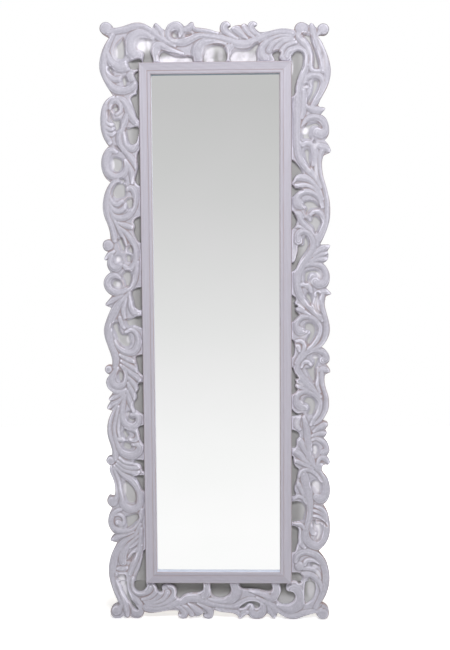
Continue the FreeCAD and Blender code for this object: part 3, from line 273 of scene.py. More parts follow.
# Round knobs where scrolls end: across, up, radius
KNOBS_HEAD = [(-319, 1780, 18), (257, 1774, 19), (321, 1773, 16)]
KNOBS = [(-246, 1641, 16), (-325, 1150, 16), (-332, 778, 12), (-331, 498, 13.5), (-328, 371, 16),
    (313, 478, 13), (249, 167, 15)]

# Painted light in spots, mostly on the recess floors: across, up, half width, half height, strength
PAINTED_LIGHT_SPOTS = [(-218, 1732, 19, 22, 1), (-190, 1735, 13, 18, 0.9), (-116, 1690, 54, 15, 1),
    (-72, 1690, 12, 10, 0.6), (-18, 1710, 19, 24, 1), (-14, 1688, 13, 14, 0.9), (76, 1700, 34, 24, 1),
    (112, 1696, 18, 16, 0.6), (-305, 120, 11, 24, 1), (-297, 86, 9, 24, 0.8), (-283, 60, 9, 16, 0.4),
    (306, 145, 8, 12, 0.9), (296, 165, 8, 6, 0.6), (285, 90, 12, 30, 0.35), (18, 1702, 9, 16, 0.35),
    (-116, 1743, 12, 4, 0.8), (-147, 1764, 4, 10, 0.5), (262, 1740, 7, 12, 0.6), (278, 1712, 6, 14, 0.6),
    (247, 1757, 6, 8, 0.5), (311, 1727, 6, 22, 0.6), (325, 1680, 7, 30, 0.6), (229, 1668, 5, 22, 0.6),
    (267, 1609, 7, 4, 0.8), (266, 1484, 12, 11, 1), (297, 1439, 6, 9, 1), (306, 1447, 5, 4, 0.7),
    (299, 1368, 5, 28, 0.8), (278, 1369, 8, 7, 0.6), (313, 1500, 4, 9, 0.5), (233, 1122, 8, 18, 0.7),
    (309, 1060, 9, 13, 0.8), (283, 1038, 7, 7, 0.6), (270, 1023, 6, 5, 0.6), (301, 968, 11, 28, 0.7),
    (258, 972, 12, 14, 0.5), (258, 878, 14, 6, 0.7), (297, 814, 11, 6, 0.9), (240, 842, 6, 8, 0.6),
    (254, 731, 13, 6, 0.6), (297, 530, 8, 16, 0.8), (239, 612, 10, 20, 0.6), (254, 652, 12, 8, 0.5),
    (303, 656, 4, 18, 0.5), (302, 414, 13, 23, 0.8), (304, 278, 13, 32, 0.8), (302, 560, 20, 5, 0.5),
    (-293, 1709, 8, 22, 0.8), (-307, 1504, 5, 6, 0.7), (-312, 1543, 5, 7, 0.5), (-307, 1387, 5, 15, 0.9),
    (-294, 1109, 11, 12, 0.9), (-283, 1534, 10, 10, 0.5), (-254, 1290, 8, 7, 0.6),
    (-296, 1031, 9, 14, 0.6), (-300, 567, 7, 8, 0.6), (-270, 566, 7, 6, 0.6), (-249, 545, 10, 6, 0.5),
    (-304, 292, 7, 8, 0.7), (-275, 640, 12, 6, 0.4), (-268, 868, 9, 12, 0.5), (-304, 862, 8, 12, 0.4),
    (-292, 410, 7, 26, 0.5)]

TURN_H = 1805               # the foot's ridges and knobs are the head's, turned half round in this height

# The carved boards, in millimetres from the plane where they meet the base frame
CARVED = ("left_stile", "right_stile", "top_rail", "bottom_rail")
SEAT_Y = box_of("carved_left_stile")[1][1]
FRONT_Y = box_of("carved_left_stile")[0][1]
GROUND = 4                  # floor of the recesses
MASS = 17.5                 # plain carved surface
RIDGE_TOP = 21.0            # crest of the narrowest ridge
RIDGE_GAIN = 0.16           # further height per millimetre of a ridge's width
RIDGE_SPREAD = 1.36         # a ridge's foot is this much wider than its drawn width
RIDGE_POWER = 2.5           # 2 is round, more is flatter on top and steeper at its sides
KNOB_TOP = 24
KNOB_SPREAD = 1.05
FLUTE_FROM = 8              # ribs with a foot wider than this to each side are fluted
FLUTE_OVER = 3              # and fully so this much wider
FLUTE_AT = 0.46             # place of the flute between a rib's middle and its side
FLUTE_WIDE = 1.5
FLUTE_DEEP = 1.2
EDGE_ROUND = 3.6            # width of the rounding along every edge
EDGE_SHARE = 0.84           # share of the standing height that is left right at an edge
RIM_REACH = 14.0            # how far from the edges distances are worked out
GROOVE_WIDE = 2             # quirk along the outside of the moulding
GROOVE_SHARE = 0.4          # share of the standing height that it takes
WALL_NEAR = 2.0             # width of a recess's walls, steep beside the moulding and at the foot
WALL_FAR = 9.0              # and scooped further out
SCOOP_FROM = 12             # distance from the moulding at which the scoops begin
SCOOP_OVER = 25
SCOOP_SHARE = 0.6           # share of the full depth that the scoops are sunk
LEAST_EDGE = 0.002          # shorter edges of the mesh are taken out
DRAW_REACH = 2.5            # grid points this near the silhouette are drawn out to it
DRAW_BATCH = 400
CARVED_SHARP = 58           # degrees between faces that meet in a sharp edge

# Tool marks as crossed waves: height; length, sway and the sway's length across; and the same three up
TOOL_MARKS = [(0.22, 7.1, 1.7, 23, 9.3, 1.3, 17), (0.10, 2.9, 2.1, 11, 3.7, 1.9, 13)]
MARKS_SUNK = 0.5            # share of the marks that is missing on a recess's floor

# Where the paint changes on the carved boards: painted shade in the hollows, the creases and the grounds,
# pale crests that are partly a painted highlight, rubbed edges, and painted light in spots
CAVITY = (10, 2.2)          # rounds of blur, and the height below the blurred carving that counts in full
CREASE = (3, 0.8)
SHADE_FOOT = (0.75, 32)     # strength of the painted shade on the grounds, and how far from the moulding it reaches
SHADE_SIDES = (0.5, 14)
SHADE_OVER = 26             # width in which it fades
RUBBED_EDGE = 3.2           # width of the rubbed paint along the edges
PALE_RAISED = 0.45          # share of the painted light that stays outside the recesses
PALE_CORE = 0.5             # share of a painted light spot's half width that has its full strength
PALE_FADE = 0.8             # share in which it fades

# The moulding round the glass, and the steps of the carving's grid
MOULD_X = box_of("moulding_right")[1][0]
MOULD_LOW = box_of("moulding_left")[0][2]
MOULD_HIGH = box_of("moulding_left")[1][2]
STEPS_ACROSS = 150          # from the middle to the moulding's edge
STEPS_UP = 1056             # along the moulding's height
STEP_X = MOULD_X / STEPS_ACROSS
STEP_Z = (MOULD_HIGH - MOULD_LOW) / STEPS_UP


def trued(shapes):
    """Drawn shapes with the sheet's shifts taken into account; only a point's first two values change."""
    out = []
    for shape in shapes:
        points = np.array(shape, float)
        right = (points[:, 0] + SHEET_HALF_W) / (2 * SHEET_HALF_W)
        up = points[:, 1] / SHEET_H
        shift = np.zeros((len(points), 2))
        shift[:, 1] = 4 * up * (1 - up) * SHEET_BOW
        for side, share in (("left", 1 - right), ("right", right)):
            shift += np.outer(share * up, SHIFT_UPPER[side]) + np.outer(share * (1 - up), SHIFT_LOWER[side])
        points[:, :2] += shift
        out.append(points)
    return out


def turned(shapes):
    """The same shapes turned half round in the plane of the mirror."""
    half_round = []
    for shape in shapes:
        points = shape.copy()
        points[:, 0] *= -1
        points[:, 1] = TURN_H - points[:, 1]
        half_round.append(points)
    return half_round


def along(points, gap=1.0):
    """Points about gap apart on a smooth line through the given ones."""
    p = np.array(points, float)
    n = len(p)
    out = []
    for i in range(n - 1):
        a, b, c, d = p[max(i - 1, 0)], p[i], p[i + 1], p[min(i + 2, n - 1)]
        count = max(2, int(np.hypot(*(c - b)[:2]) / gap) + 1)
        t = np.linspace(0, 1, count, endpoint=False)[:, None]
        bend = (2 * a - 5 * b + 4 * c - d) * t ** 2 + (3 * b - a - 3 * c + d) * t ** 3
        out.append(0.5 * (2 * b + (c - a) * t + bend))
    out.append(p[-1:])
    return np.vstack(out)


def flat_edges(level):
    """Edges round the frame's carved boards at one depth: both ends of each, across and up."""
    times = {}
    for place in CARVED:
        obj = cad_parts["carved_" + place]
        points = np.array([obj.matrix_world @ v.co for v in obj.data.vertices]) / MM
        flat = np.isclose(points[:, 1], level, atol=0.01)
        ends = [tuple(end) for end in np.round(points[:, [0, 2]], 3).tolist()]
        for face in obj.data.polygons:
            if flat[list(face.vertices)].all():
                for a, b in face.edge_keys:
                    edge = frozenset((ends[a], ends[b]))
                    times[edge] = times.get(edge, 0) + 1
    return np.array([tuple(edge) for edge, count in times.items() if count == 1])


def off_moulding(edges):
    """The same edges without those that lie along the moulding's outside or in line with it."""
    on_x = np.isclose(np.abs(edges[:, :, 0]), MOULD_X, atol=0.05).all(1)
    on_z = np.isclose(edges[:, :, 1], MOULD_LOW, atol=0.05).all(1)
    on_z |= np.isclose(edges[:, :, 1], MOULD_HIGH, atol=0.05).all(1)
    return edges[~(on_x | on_z)]


def dotted(edges, gap=1.0):
    """Points no more than gap apart along straight edges."""
    out = []
    for start, end in edges:
        count = int(np.hypot(*(end - start)) / gap) + 1
        out.append(start + (end - start) * np.arange(count)[:, None] / count)
    return np.vstack(out)


class Relief:
    """The whole border as one field of heights on a grid that has the moulding's edges among its lines."""

    def __init__(self):
        self.front_edges = flat_edges(FRONT_Y)
        self.ground_edges = flat_edges(SEAT_Y - GROUND)
        self.back_edges = flat_edges(SEAT_Y)
        self.rim = dotted(off_moulding(self.front_edges))
        columns = int(np.abs(self.rim[:, 0]).max() / STEP_X) + 2
        below = int((MOULD_LOW - self.rim[:, 1].min()) / STEP_Z) + 2
        above = int((self.rim[:, 1].max() - MOULD_HIGH) / STEP_Z) + 2
        self.x = STEP_X * np.arange(-columns, columns + 1)
        self.z = MOULD_LOW + STEP_Z * np.arange(-below, STEPS_UP + above + 1)
        self.shape = (len(self.z), len(self.x))
        self.joints_x = (columns - STEPS_ACROSS, columns + STEPS_ACROSS)
        self.joints_z = (below, below + STEPS_UP)

    def around(self, x, z, reach):
        """The part of the grid within reach of a point, and the squares of its distances."""
        columns = slice(*np.searchsorted(self.x, (x - reach, x + reach)))
        rows = slice(*np.searchsorted(self.z, (z - reach, z + reach)))
        return (rows, columns), (self.x[None, columns] - x) ** 2 + (self.z[rows, None] - z) ** 2

    def inside(self, edges, dx=0.0, dz=0.0):
        """Which grid points, moved by dx and dz, lie inside the closed loops that the edges make."""
        flips = np.zeros((self.shape[0], self.shape[1] + 1), np.int32)
        z = self.z + dz
        for (x0, z0), (x1, z1) in edges:
            if z0 == z1:
                continue
            rows = np.nonzero((z >= min(z0, z1)) & (z < max(z0, z1)))[0]
            cross = x0 + (z[rows] - z0) * (x1 - x0) / (z1 - z0) - dx
            columns = np.clip(np.ceil((cross - self.x[0]) / STEP_X), 0, self.shape[1]).astype(int)
            np.add.at(flips, (rows, columns), 1)
        return np.cumsum(flips, 1)[:, :-1] % 2 == 1

    def filled(self):
        """Which grid cells have wood behind them: at the front, on a recess's floor or at the back."""
        cells = np.zeros(self.shape, bool)
        for edges in (self.front_edges, self.ground_edges, self.back_edges):
            cells |= self.inside(edges, STEP_X / 2, STEP_Z / 2)
        return cells

    def recessed(self):
        """Which grid points lie over a recess; those along the moulding go by the next ones out."""
        sunk = self.inside(self.ground_edges)
        left, right = self.joints_x
        low, high = self.joints_z
        sunk[:, left] = sunk[:, left - 1]
        sunk[:, right] = sunk[:, right + 1]
        sunk[low, left:right] = sunk[low - 1, left:right]
        sunk[high, left:right] = sunk[high + 1, left:right]
        return sunk

    def from_rim(self):
        """Distance of the grid points from the silhouette and the recesses' rims, up to a reach."""
        far = np.full(self.shape, RIM_REACH ** 2)
        for x, z in self.rim:
            at, far2 = self.around(x, z, RIM_REACH)
            np.minimum(far[at], far2, out=far[at])
        return np.sqrt(far)

    def make(self):
        """Works out the heights, and the fields that the paint goes by."""
        sunk = self.recessed()
        rim = self.from_rim()
        above_or_below = np.maximum(self.z - MOULD_HIGH, MOULD_LOW - self.z)
        beside = np.maximum(np.abs(self.x)[None, :] - MOULD_X, above_or_below[:, None])
        at_foot = (self.z < MOULD_LOW)[:, None]
        stand = np.maximum(self.ridges(), MASS - GROUND)
        solid_edge = np.clip(np.where(sunk, 0, rim) / EDGE_ROUND, 0, 1)
        stand *= EDGE_SHARE + (1 - EDGE_SHARE) * np.sqrt(1 - (1 - solid_edge) ** 2)
        stand *= 1 - GROOVE_SHARE * (1 - smooth(beside / GROOVE_WIDE))
        scoop = np.where(at_foot, 0, smooth((beside - SCOOP_FROM) / SCOOP_OVER))
        wall_wide = WALL_NEAR + (WALL_FAR - WALL_NEAR) * scoop
        deep = smooth(np.where(sunk, rim, 0) / wall_wide)
        height = GROUND + stand * (1 - deep * (1 - (1 - SCOOP_SHARE) * scoop))
        height += self.tool_marks() * (1 - MARKS_SUNK * deep)
        self.height = blurred(height, 1)
        self.fields = {
            # cavity and crease drive painted shade in the hollows and creases, and the pale crests that are
            # partly a painted highlight
            "cavity": self.below_blur(*CAVITY),
            "crease": self.below_blur(*CREASE),
            "sunk": deep,
            # painted shade on the grounds beside the moulding, stronger at the foot
            "painted_shade": np.where(at_foot, painted_shade(beside, *SHADE_FOOT), painted_shade(beside, *SHADE_SIDES)),
            # painted light in spots, mostly on the recess floors
            "pale": self.light_spot_strength() * (PALE_RAISED + (1 - PALE_RAISED) * deep),
            "rubbed": np.where(sunk, 0, 1 - smooth(rim / RUBBED_EDGE)),
        }

    def below_blur(self, rounds, full):
        """How far each point lies below its surroundings, from -1 to 1."""
        return np.clip((blurred(self.height, rounds) - self.height) / full, -1, 1)

    def light_spot_strength(self):
        """Strength of the painted light spots over each grid point."""
        field = np.zeros(self.shape)
        for x, z, half_w, half_h, strength in trued([PAINTED_LIGHT_SPOTS])[0]:
            far = np.hypot((self.x[None, :] - x) / half_w, (self.z[:, None] - z) / half_h)
            np.maximum(field, strength * (1 - smooth((far - PALE_CORE) / PALE_FADE)), out=field)
        return field

    def ridges(self):
        """Height of the tallest rib or knob over each grid point, from the ground."""
        field = np.zeros(self.shape)
        head = trued(RIDGES_HEAD)
        sides = trued(RIDGES_UPPER_LEFT + RIDGES_LEFT + RIDGES_RIGHT + RIDGES_LOWER_RIGHT)
        for shape in head + turned(head) + sides:
            self.rib(field, along(shape))
        head_knobs = trued([KNOBS_HEAD])
        foot = MASS - GROUND
        for x, z, radius in np.vstack(head_knobs + turned(head_knobs) + trued([KNOBS])):
            at, far2 = self.around(x, z, KNOB_SPREAD * radius)
            ball = np.clip(1 - (far2 / (KNOB_SPREAD * radius) ** 2) ** 2, 0, 1)
            np.maximum(field[at], np.where(ball > 0, foot + (KNOB_TOP - MASS) * ball, 0), out=field[at])
        return field

    def rib(self, field, points):
        """Raises a rounded rib along points that hold its width too; a wide rib has a flute on each side."""
        half = RIDGE_SPREAD / 2 * points[:, 2]
        low = (points[:, :2] - half[:, None]).min(0)
        high = (points[:, :2] + half[:, None]).max(0)
        columns = slice(*np.searchsorted(self.x, (low[0], high[0])))
        rows = slice(*np.searchsorted(self.z, (low[1], high[1])))
        x = self.x[None, columns]
        z = self.z[rows, None]
        share = np.ones(np.broadcast_shapes(x.shape, z.shape))
        reach = np.ones_like(share)
        for (px, pz, _), r in zip(points, half):
            new = np.sqrt((x - px) ** 2 + (z - pz) ** 2) / r
            closer = new < share
            share[closer] = new[closer]
            reach[closer] = r
        foot = MASS - GROUND
        rise = RIDGE_TOP + RIDGE_GAIN * 2 / RIDGE_SPREAD * reach - MASS
        form = foot + rise * (1 - share ** RIDGE_POWER)
        fluted = smooth((reach - FLUTE_FROM) / FLUTE_OVER)
        form -= fluted * FLUTE_DEEP * np.exp(-((share - FLUTE_AT) * reach / FLUTE_WIDE) ** 2)
        form[share >= 1] = 0
        np.maximum(field[rows, columns], form, out=field[rows, columns])

    def tool_marks(self):
        """Shallow unevenness of hand work, made of crossed waves."""
        x = self.x[None, :]
        z = self.z[:, None]
        field = np.zeros(self.shape)
        for high, long_x, sway_x, sway_z_long, long_z, sway_z, sway_x_long in TOOL_MARKS:
            across = np.sin(x / long_x + sway_x * np.sin(z / sway_z_long))
            field += high * across * np.sin(z / long_z + sway_z * np.sin(x / sway_x_long))
        return field


def painted_shade(beside, strength, reach):
    """Painted shade on the grounds, by their distance from the moulding."""
    return strength * (1 - smooth((beside - reach) / SHADE_OVER))


def smooth(t):
    """Goes from 0 to 1 without a kink as t does, and stays there."""
    t = np.clip(t, 0, 1)
    return t * t * (3 - 2 * t)


def blurred(field, times):
    """The field with each value mixed with its neighbours, a number of times."""
    for axis in (0, 1):
        for _ in range(times):
            pad = np.take(field, [0], axis), np.take(field, [-1], axis)
            wide = np.concatenate([pad[0], field, pad[1]], axis)
            n = field.shape[axis]
            field = (np.take(wide, range(n), axis) + 2 * field + np.take(wide, range(2, n + 2), axis)) / 4
    return field


def carved_board(relief, name, columns, rows):
    """One board cut from the relief: its front drawn out to the silhouette, with sides and back."""
    height = relief.height[rows, columns]
    x = np.broadcast_to(relief.x[None, columns], height.shape).copy()
    z = np.broadcast_to(relief.z[rows, None], height.shape).copy()
    cells = relief.filled()[rows, columns][:-1, :-1]
    taken = np.zeros(height.shape, bool)
    open_side = np.zeros(height.shape, bool)
    for dr in (0, 1):
        for dc in (0, 1):
            corner = (slice(dr, dr + cells.shape[0]), slice(dc, dc + cells.shape[1]))
            taken[corner] |= cells
            open_side[corner] |= ~cells
    draw_out(relief.rim, x, z, taken & open_side)
    index = np.full(height.shape, -1)
    index[taken] = np.arange(taken.sum())
    corners = np.stack([index[:-1, :-1], index[:-1, 1:], index[1:, 1:], index[1:, :-1]], -1)[cells]
    front = np.stack([x[taken], SEAT_Y - height[taken], z[taken]], 1) * MM
    mesh = bpy.data.meshes.new(name)
    mesh.from_pydata(front.tolist(), [], corners.tolist())
    for label, field in relief.fields.items():
        add_field(mesh, label, field[rows, columns][taken])
    close_behind(mesh)
    mesh.shade_smooth()
    mesh.set_sharp_from_angle(angle=math.radians(CARVED_SHARP))
    return shown(mesh, name)


def draw_out(rim, x, z, outermost):
    """Moves the outermost grid points onto the silhouette; on a joint between boards only up or down."""
    places = np.argwhere(outermost)
    for batch in np.array_split(places, max(1, len(places) // DRAW_BATCH)):
        at = (batch[:, 0], batch[:, 1])
        far2 = (x[at][:, None] - rim[None, :, 0]) ** 2 + (z[at][:, None] - rim[None, :, 1]) ** 2
        near = rim[far2.argmin(1)]
        far = np.sqrt(far2.min(1))
        close = far < DRAW_REACH
        on_joint = np.isclose(np.abs(x[at]), MOULD_X) & (far > 0)
        x[at] = np.where(close & ~on_joint, near[:, 0], x[at])
        z[at] = np.where(close, near[:, 1], z[at])


def close_behind(mesh):
    """Sides straight back from the open edge, and a flat back."""
    bm = bmesh.new()
    bm.from_mesh(mesh)
    rim = [e for e in bm.edges if len(e.link_faces) == 1]
    made = bmesh.ops.extrude_edge_only(bm, edges=rim)["geom"]
    for v in (g for g in made if isinstance(g, bmesh.types.BMVert)):
        v.co.y = SEAT_Y * MM
    back = [g for g in made if isinstance(g, bmesh.types.BMEdge) and len(g.link_faces) == 1]
    bmesh.ops.edgeloop_fill(bm, edges=back, mat_nr=1)
    for v in bm.verts:
        v.co.z = max(v.co.z, 0)
    bmesh.ops.dissolve_degenerate(bm, dist=LEAST_EDGE * MM, edges=bm.edges)
    bmesh.ops.recalc_face_normals(bm, faces=bm.faces)
    bm.to_mesh(mesh)
    bm.free()


def add_field(mesh, label, values):
    """Gives each point of a mesh a value that its paint can go by."""
    layer = mesh.attributes.new(label, "FLOAT", "POINT")
    layer.data.foreach_set("value", values.astype(np.float32))


def shown(mesh, name):
    """A mesh put in the scene as an object."""
    obj = bpy.data.objects.new(name, mesh)
    bpy.context.scene.collection.objects.link(obj)
    return obj


# Section of the moulding in millimetres: inwards from its outer edge, and forwards from the base frame
SECTION_FACE = [
    (0, 29.5), (0.6, 31.6), (2, 32.8), (4, 33.2), (6, 32.7), (12, 32.8), (18, 32.7), (23, 32.8),
    (24.2, 32.2), (25, 33), (26.6, 33.8), (29, 34), (31.6, 33.9), (33.6, 33), (34.8, 31), (35.5, 25),
    (36, 18.2),
]
SECTION_BACK = [(27.5, 18.2), (27.5, 0), (0, 0)]
SECTION_GAP = 0.7           # between the points of the rounded face
MOULD_STEPS = 90            # along each length
MOULD_SHARP = 40            # degrees between faces that meet in a sharp edge
WAVE_HIGH = 0.12            # unevenness of the planed face
WAVE_ALONG = 0.126          # its angle per millimetre along the length, in radians
WAVE_ACROSS = 0.4           # and per millimetre across
WAVE_FROM = 12              # height in the section above which it begins
RUBBED_AT = (0.6, 24.3, 34.2)   # across the face, where the paint is rubbed through
RUBBED_WIDE = 0.8
RUBBED_FROM = 25            # height in the section above which it is rubbed
LIP_FROM = (34.6, 31)       # the lip's inner side, painted with shade on the top length and with light on the bottom and left ones: inwards and below
LIP_OVER = (0.6, 3)         # widths in which that tone begins

# Paint of the upright lengths and of those across, with the scales of its brush marks, the tone across
# darker as painted shade, and the painted light and shade of each lip
UPRIGHT = {"scales": (260, 60, 6), "tone": (195, 192, 203)}
# the lengths across are painted darker than the upright ones, as painted shade
ACROSS = {"scales": (6, 60, 260), "tone": (184, 181, 192)}
LIP_LIGHT_AND_SHADE = {
    "top": (96, 122, 138), "bottom": (206, 214, 230), "left": (232, 234, 246), "right": (196, 194, 204),
}


def moulding(name, start, run, inwards, length):
    """One mitred length: the section carried along run, with its ends cut at 45 degrees."""
    section = np.vstack([along(SECTION_FACE, SECTION_GAP), np.array(SECTION_BACK, float)])
    n = len(section)
    start, run, inwards = (np.array(value, float) for value in (start, run, inwards))
    verts = []
    for share in np.linspace(0, 1, MOULD_STEPS + 1):
        for u, v in section:
            x, z = start + inwards * u + run * (u + share * (length - 2 * u))
            angle = WAVE_ALONG * length * share + WAVE_ACROSS * u
            wave = WAVE_HIGH * math.sin(angle) if v > WAVE_FROM else 0
            verts.append((x * MM, (SEAT_Y - v - wave) * MM, z * MM))
    last = MOULD_STEPS * n
    faces = [tuple(range(n)), tuple(range(last + n - 1, last - 1, -1))]
    for first in range(0, last, n):
        for k in range(n):
            a = first + k
            b = first + (k + 1) % n
            faces.append((a, b, b + n, a + n))
    mesh = bpy.data.meshes.new(name)
    mesh.from_pydata(verts, [], faces)
    across, high = section.T
    lip = smooth((across - LIP_FROM[0]) / LIP_OVER[0]) * smooth((LIP_FROM[1] - high) / LIP_OVER[1])
    rubbed = sum(np.exp(-((across - at) / RUBBED_WIDE) ** 2) for at in RUBBED_AT) * (high > RUBBED_FROM)
    for label, field in (("rubbed", rubbed), ("lip", lip)):
        add_field(mesh, label, np.tile(field, MOULD_STEPS + 1))
    bm = bmesh.new()
    bm.from_mesh(mesh)
    bmesh.ops.recalc_face_normals(bm, faces=bm.faces)
    bm.to_mesh(mesh)
    bm.free()
    mesh.shade_smooth()
    mesh.set_sharp_from_angle(angle=math.radians(MOULD_SHARP))
    return shown(mesh, name)


class Paint:
    """A node material built step by step."""

    def __init__(self, name):
        self.material = bpy.data.materials.new(name)
        self.material.use_nodes = True
        self.tree = self.material.node_tree
        self.shader = next(n for n in self.tree.nodes if n.type == "BSDF_PRINCIPLED")

    def node(self, kind, **values):
        """A new node with values set on its inputs, or on itself where it has a property of that name."""
        node = self.tree.nodes.new("ShaderNode" + kind)
        for key, value in values.items():
            if hasattr(node, key):
                setattr(node, key, value)
            else:
                node.inputs[key].default_value = value
        return node

    def link(self, source, target):
        self.tree.links.new(source, target)

    def place(self, scales=(1, 1, 1)):
        """Places on the object, with a scale for each axis."""
        node = self.node("Mapping", Scale=scales)
        self.link(self.node("TexCoord").outputs["Object"], node.inputs["Vector"])
        return node.outputs["Vector"]

    def noise(self, scale, detail=4, rough=0.55, at=None, twist=0.0):
        node = self.node("TexNoise", Scale=scale, Detail=detail, Roughness=rough, Distortion=twist)
        self.link(at if at is not None else self.place(), node.inputs["Vector"])
        return node.outputs["Fac"]

    def ramp(self, source, low, high, to_low=0.0, to_high=1.0):
        """Goes softly from to_low to to_high while the source goes from low to high."""
        ends = {"From Min": low, "From Max": high, "To Min": to_low, "To Max": to_high}
        node = self.node("MapRange", interpolation_type="SMOOTHSTEP", **ends)
        self.link(source, node.inputs["Value"])
        return node.outputs["Result"]

    def attribute(self, name):
        return self.node("Attribute", attribute_name=name).outputs["Fac"]

    def times(self, a, b):
        """A source times a number or another source."""
        node = self.node("Math", operation="MULTIPLY")
        self.link(a, node.inputs[0])
        if isinstance(b, bpy.types.NodeSocket):
            self.link(b, node.inputs[1])
        else:
            node.inputs[1].default_value = b
        return node.outputs["Value"]

    def mix(self, share, a, b):
        """Colour a with a share of colour b; each is a source or three screen values."""
        node = self.node("Mix", data_type="RGBA")
        factor, first, second = (node.inputs[i] for i in (0, 6, 7))
        self.link(share, factor)
        for colour, socket in ((a, first), (b, second)):
            if isinstance(colour, bpy.types.NodeSocket):
                self.link(colour, socket)
            else:
                socket.default_value = (*linear(colour), 1)
        return node.outputs[2]

    def finish(self, colour, rough, bump=None, strength=0.2, distance=0.0005):
        """The material with its colour, its roughness and, where given, a bump with its depth in metres."""
        self.link(colour, self.shader.inputs["Base Color"])
        self.link(rough, self.shader.inputs["Roughness"])
        if bump is not None:
            node = self.node("Bump", Strength=strength, Distance=distance)
            self.link(bump, node.inputs["Height"])
            self.link(node.outputs["Normal"], self.shader.inputs["Normal"])
        return self.material


def linear(colour):
    """Screen values from 0 to 255 as the linear values that shaders take."""
    out = []
    for value in colour:
        value /= 255
        out.append(value / 12.92 if value <= 0.04045 else ((value + 0.055) / 1.055) ** 2.4)
    return out


def carved_paint():
    """Whitewash: dry-brushed pale on the crests, partly a painted highlight; painted shade in the hollows
    and creases, with the wood showing in the creases; painted shade on the grounds and painted light in
    spots.
    """
    p = Paint("carved_whitewash")
    cloud = p.ramp(p.noise(9, 3), 0.35, 0.65)
    brushed = p.ramp(p.noise(60, 6, 0.6, twist=0.6), 0.30, 0.72)
    mottled = p.ramp(p.noise(150, 4, 0.6), 0.40, 0.66)
    patchy = p.ramp(p.noise(26, 4), 0.42, 0.64)
    colour = p.mix(cloud, (187, 185, 195), (178, 176, 186))
    colour = p.mix(p.times(brushed, 0.5), colour, (198, 196, 206))
    colour = p.mix(p.times(mottled, 0.35), colour, (208, 206, 217))
    # painted shade in the hollows
    deep = p.ramp(p.attribute("cavity"), 0.10, 0.60)
    colour = p.mix(p.times(deep, 0.50), colour, (160, 156, 163))
    # pale dry-brushed crests, partly a painted highlight
    crest = p.ramp(p.attribute("crease"), -0.18, -0.60)
    dry = p.ramp(p.noise(18, 3), 0.36, 0.62, 0.30, 1.0)
    colour = p.mix(p.times(crest, dry), colour, (240, 238, 250))
    # painted shade in the creases, then the wood showing through in some of them
    crease = p.ramp(p.attribute("crease"), 0.15, 0.60)
    colour = p.mix(p.times(crease, 0.55), colour, (150, 145, 151))
    colour = p.mix(p.times(p.times(crease, patchy), 0.55), colour, (160, 136, 131))
    colour = p.mix(p.times(p.times(p.attribute("rubbed"), patchy), 0.6), colour, (176, 150, 142))
    # grounds of the recesses, grey, with painted shade beside the moulding and at the foot
    ground = p.mix(p.attribute("painted_shade"), (190, 190, 190), (120, 119, 115))
    colour = p.mix(p.ramp(p.attribute("sunk"), 0.35, 0.95), colour, ground)
    # painted light in spots, mostly on the recess floors
    painted_light = p.times(p.attribute("pale"), p.ramp(p.noise(34, 3), 0.30, 0.60, 0.6, 0.95))
    colour = p.mix(painted_light, colour, (250, 248, 254))
    rough = p.ramp(p.noise(45, 4), 0.3, 0.7, 0.50, 0.66)
    return p.finish(colour, rough, p.noise(420, 5, 0.6), 0.25, 0.0006)


def moulding_paint(name, scales, tone, lip_light_and_shade):
    """Whitewash dragged along the moulding; the wood shows in long thin streaks and along its edges, and the
    lip's inner side has painted light and shade.
    """
    p = Paint(name)
    drag = p.place(scales)
    broad = p.ramp(p.noise(1, 3, 0.5, at=drag), 0.35, 0.65)
    fine = p.ramp(p.noise(3.1, 5, 0.6, at=drag), 0.42, 0.66)
    thin = p.ramp(p.noise(6.5, 4, 0.6, at=drag), 0.56, 0.72)
    colour = p.mix(broad, tone, tuple(0.97 * c for c in tone))
    colour = p.mix(p.times(fine, 0.45), colour, (182, 176, 184))
    colour = p.mix(p.times(thin, 0.35), colour, (184, 166, 164))
    worn = p.ramp(p.noise(0.6, 4, 0.6, at=drag), 0.36, 0.60, 0.25, 0.85)
    colour = p.mix(p.times(p.attribute("rubbed"), worn), colour, (176, 152, 148))
    # painted shade on the top lip, painted light on the bottom and left lips
    colour = p.mix(p.times(p.attribute("lip"), 0.9), colour, lip_light_and_shade)
    rough = p.ramp(p.noise(2, 3, at=drag), 0.3, 0.7, 0.45, 0.62)
    return p.finish(colour, rough, p.noise(5, 5, 0.6, at=drag), 0.30, 0.0005)


def mirror_silver():
    """Silvered glass, hardly uneven."""
    p = Paint("mirror_silver")
    p.shader.inputs["Metallic"].default_value = 1.0
    colour = p.mix(p.ramp(p.noise(3, 2), 0.3, 0.7), (250, 251, 250), (252, 252, 252))
    rough = p.ramp(p.noise(14, 4), 0.4, 0.8, 0.010, 0.022)
    return p.finish(colour, rough)


def bare_wood(name, scales, light, dark):
    """Unpainted wood with its grain along the axis that has the least scale."""
    p = Paint(name)
    grain = p.place(scales)
    broad = p.ramp(p.noise(1, 3, 0.5, at=grain, twist=0.8), 0.3, 0.7)
    fine = p.ramp(p.noise(5, 6, 0.65, at=grain, twist=0.4), 0.40, 0.70)
    colour = p.mix(broad, light, dark)
    colour = p.mix(p.times(fine, 0.5), colour, tuple(0.78 * c for c in dark))
    return p.finish(colour, p.ramp(fine, 0, 1, 0.62, 0.8), fine, 0.3, 0.0005)


def hardboard():
    """Pressed brown fibres."""
    p = Paint("hardboard")
    fibre = p.noise(300, 5, 0.7)
    cloud = p.ramp(p.noise(7, 3), 0.3, 0.7)
    colour = p.mix(cloud, (120, 86, 58), (108, 76, 50))
    colour = p.mix(p.times(p.ramp(fibre, 0.45, 0.7), 0.5), colour, (142, 106, 76))
    return p.finish(colour, p.ramp(fibre, 0.3, 0.7, 0.45, 0.65), fibre, 0.2, 0.0004)


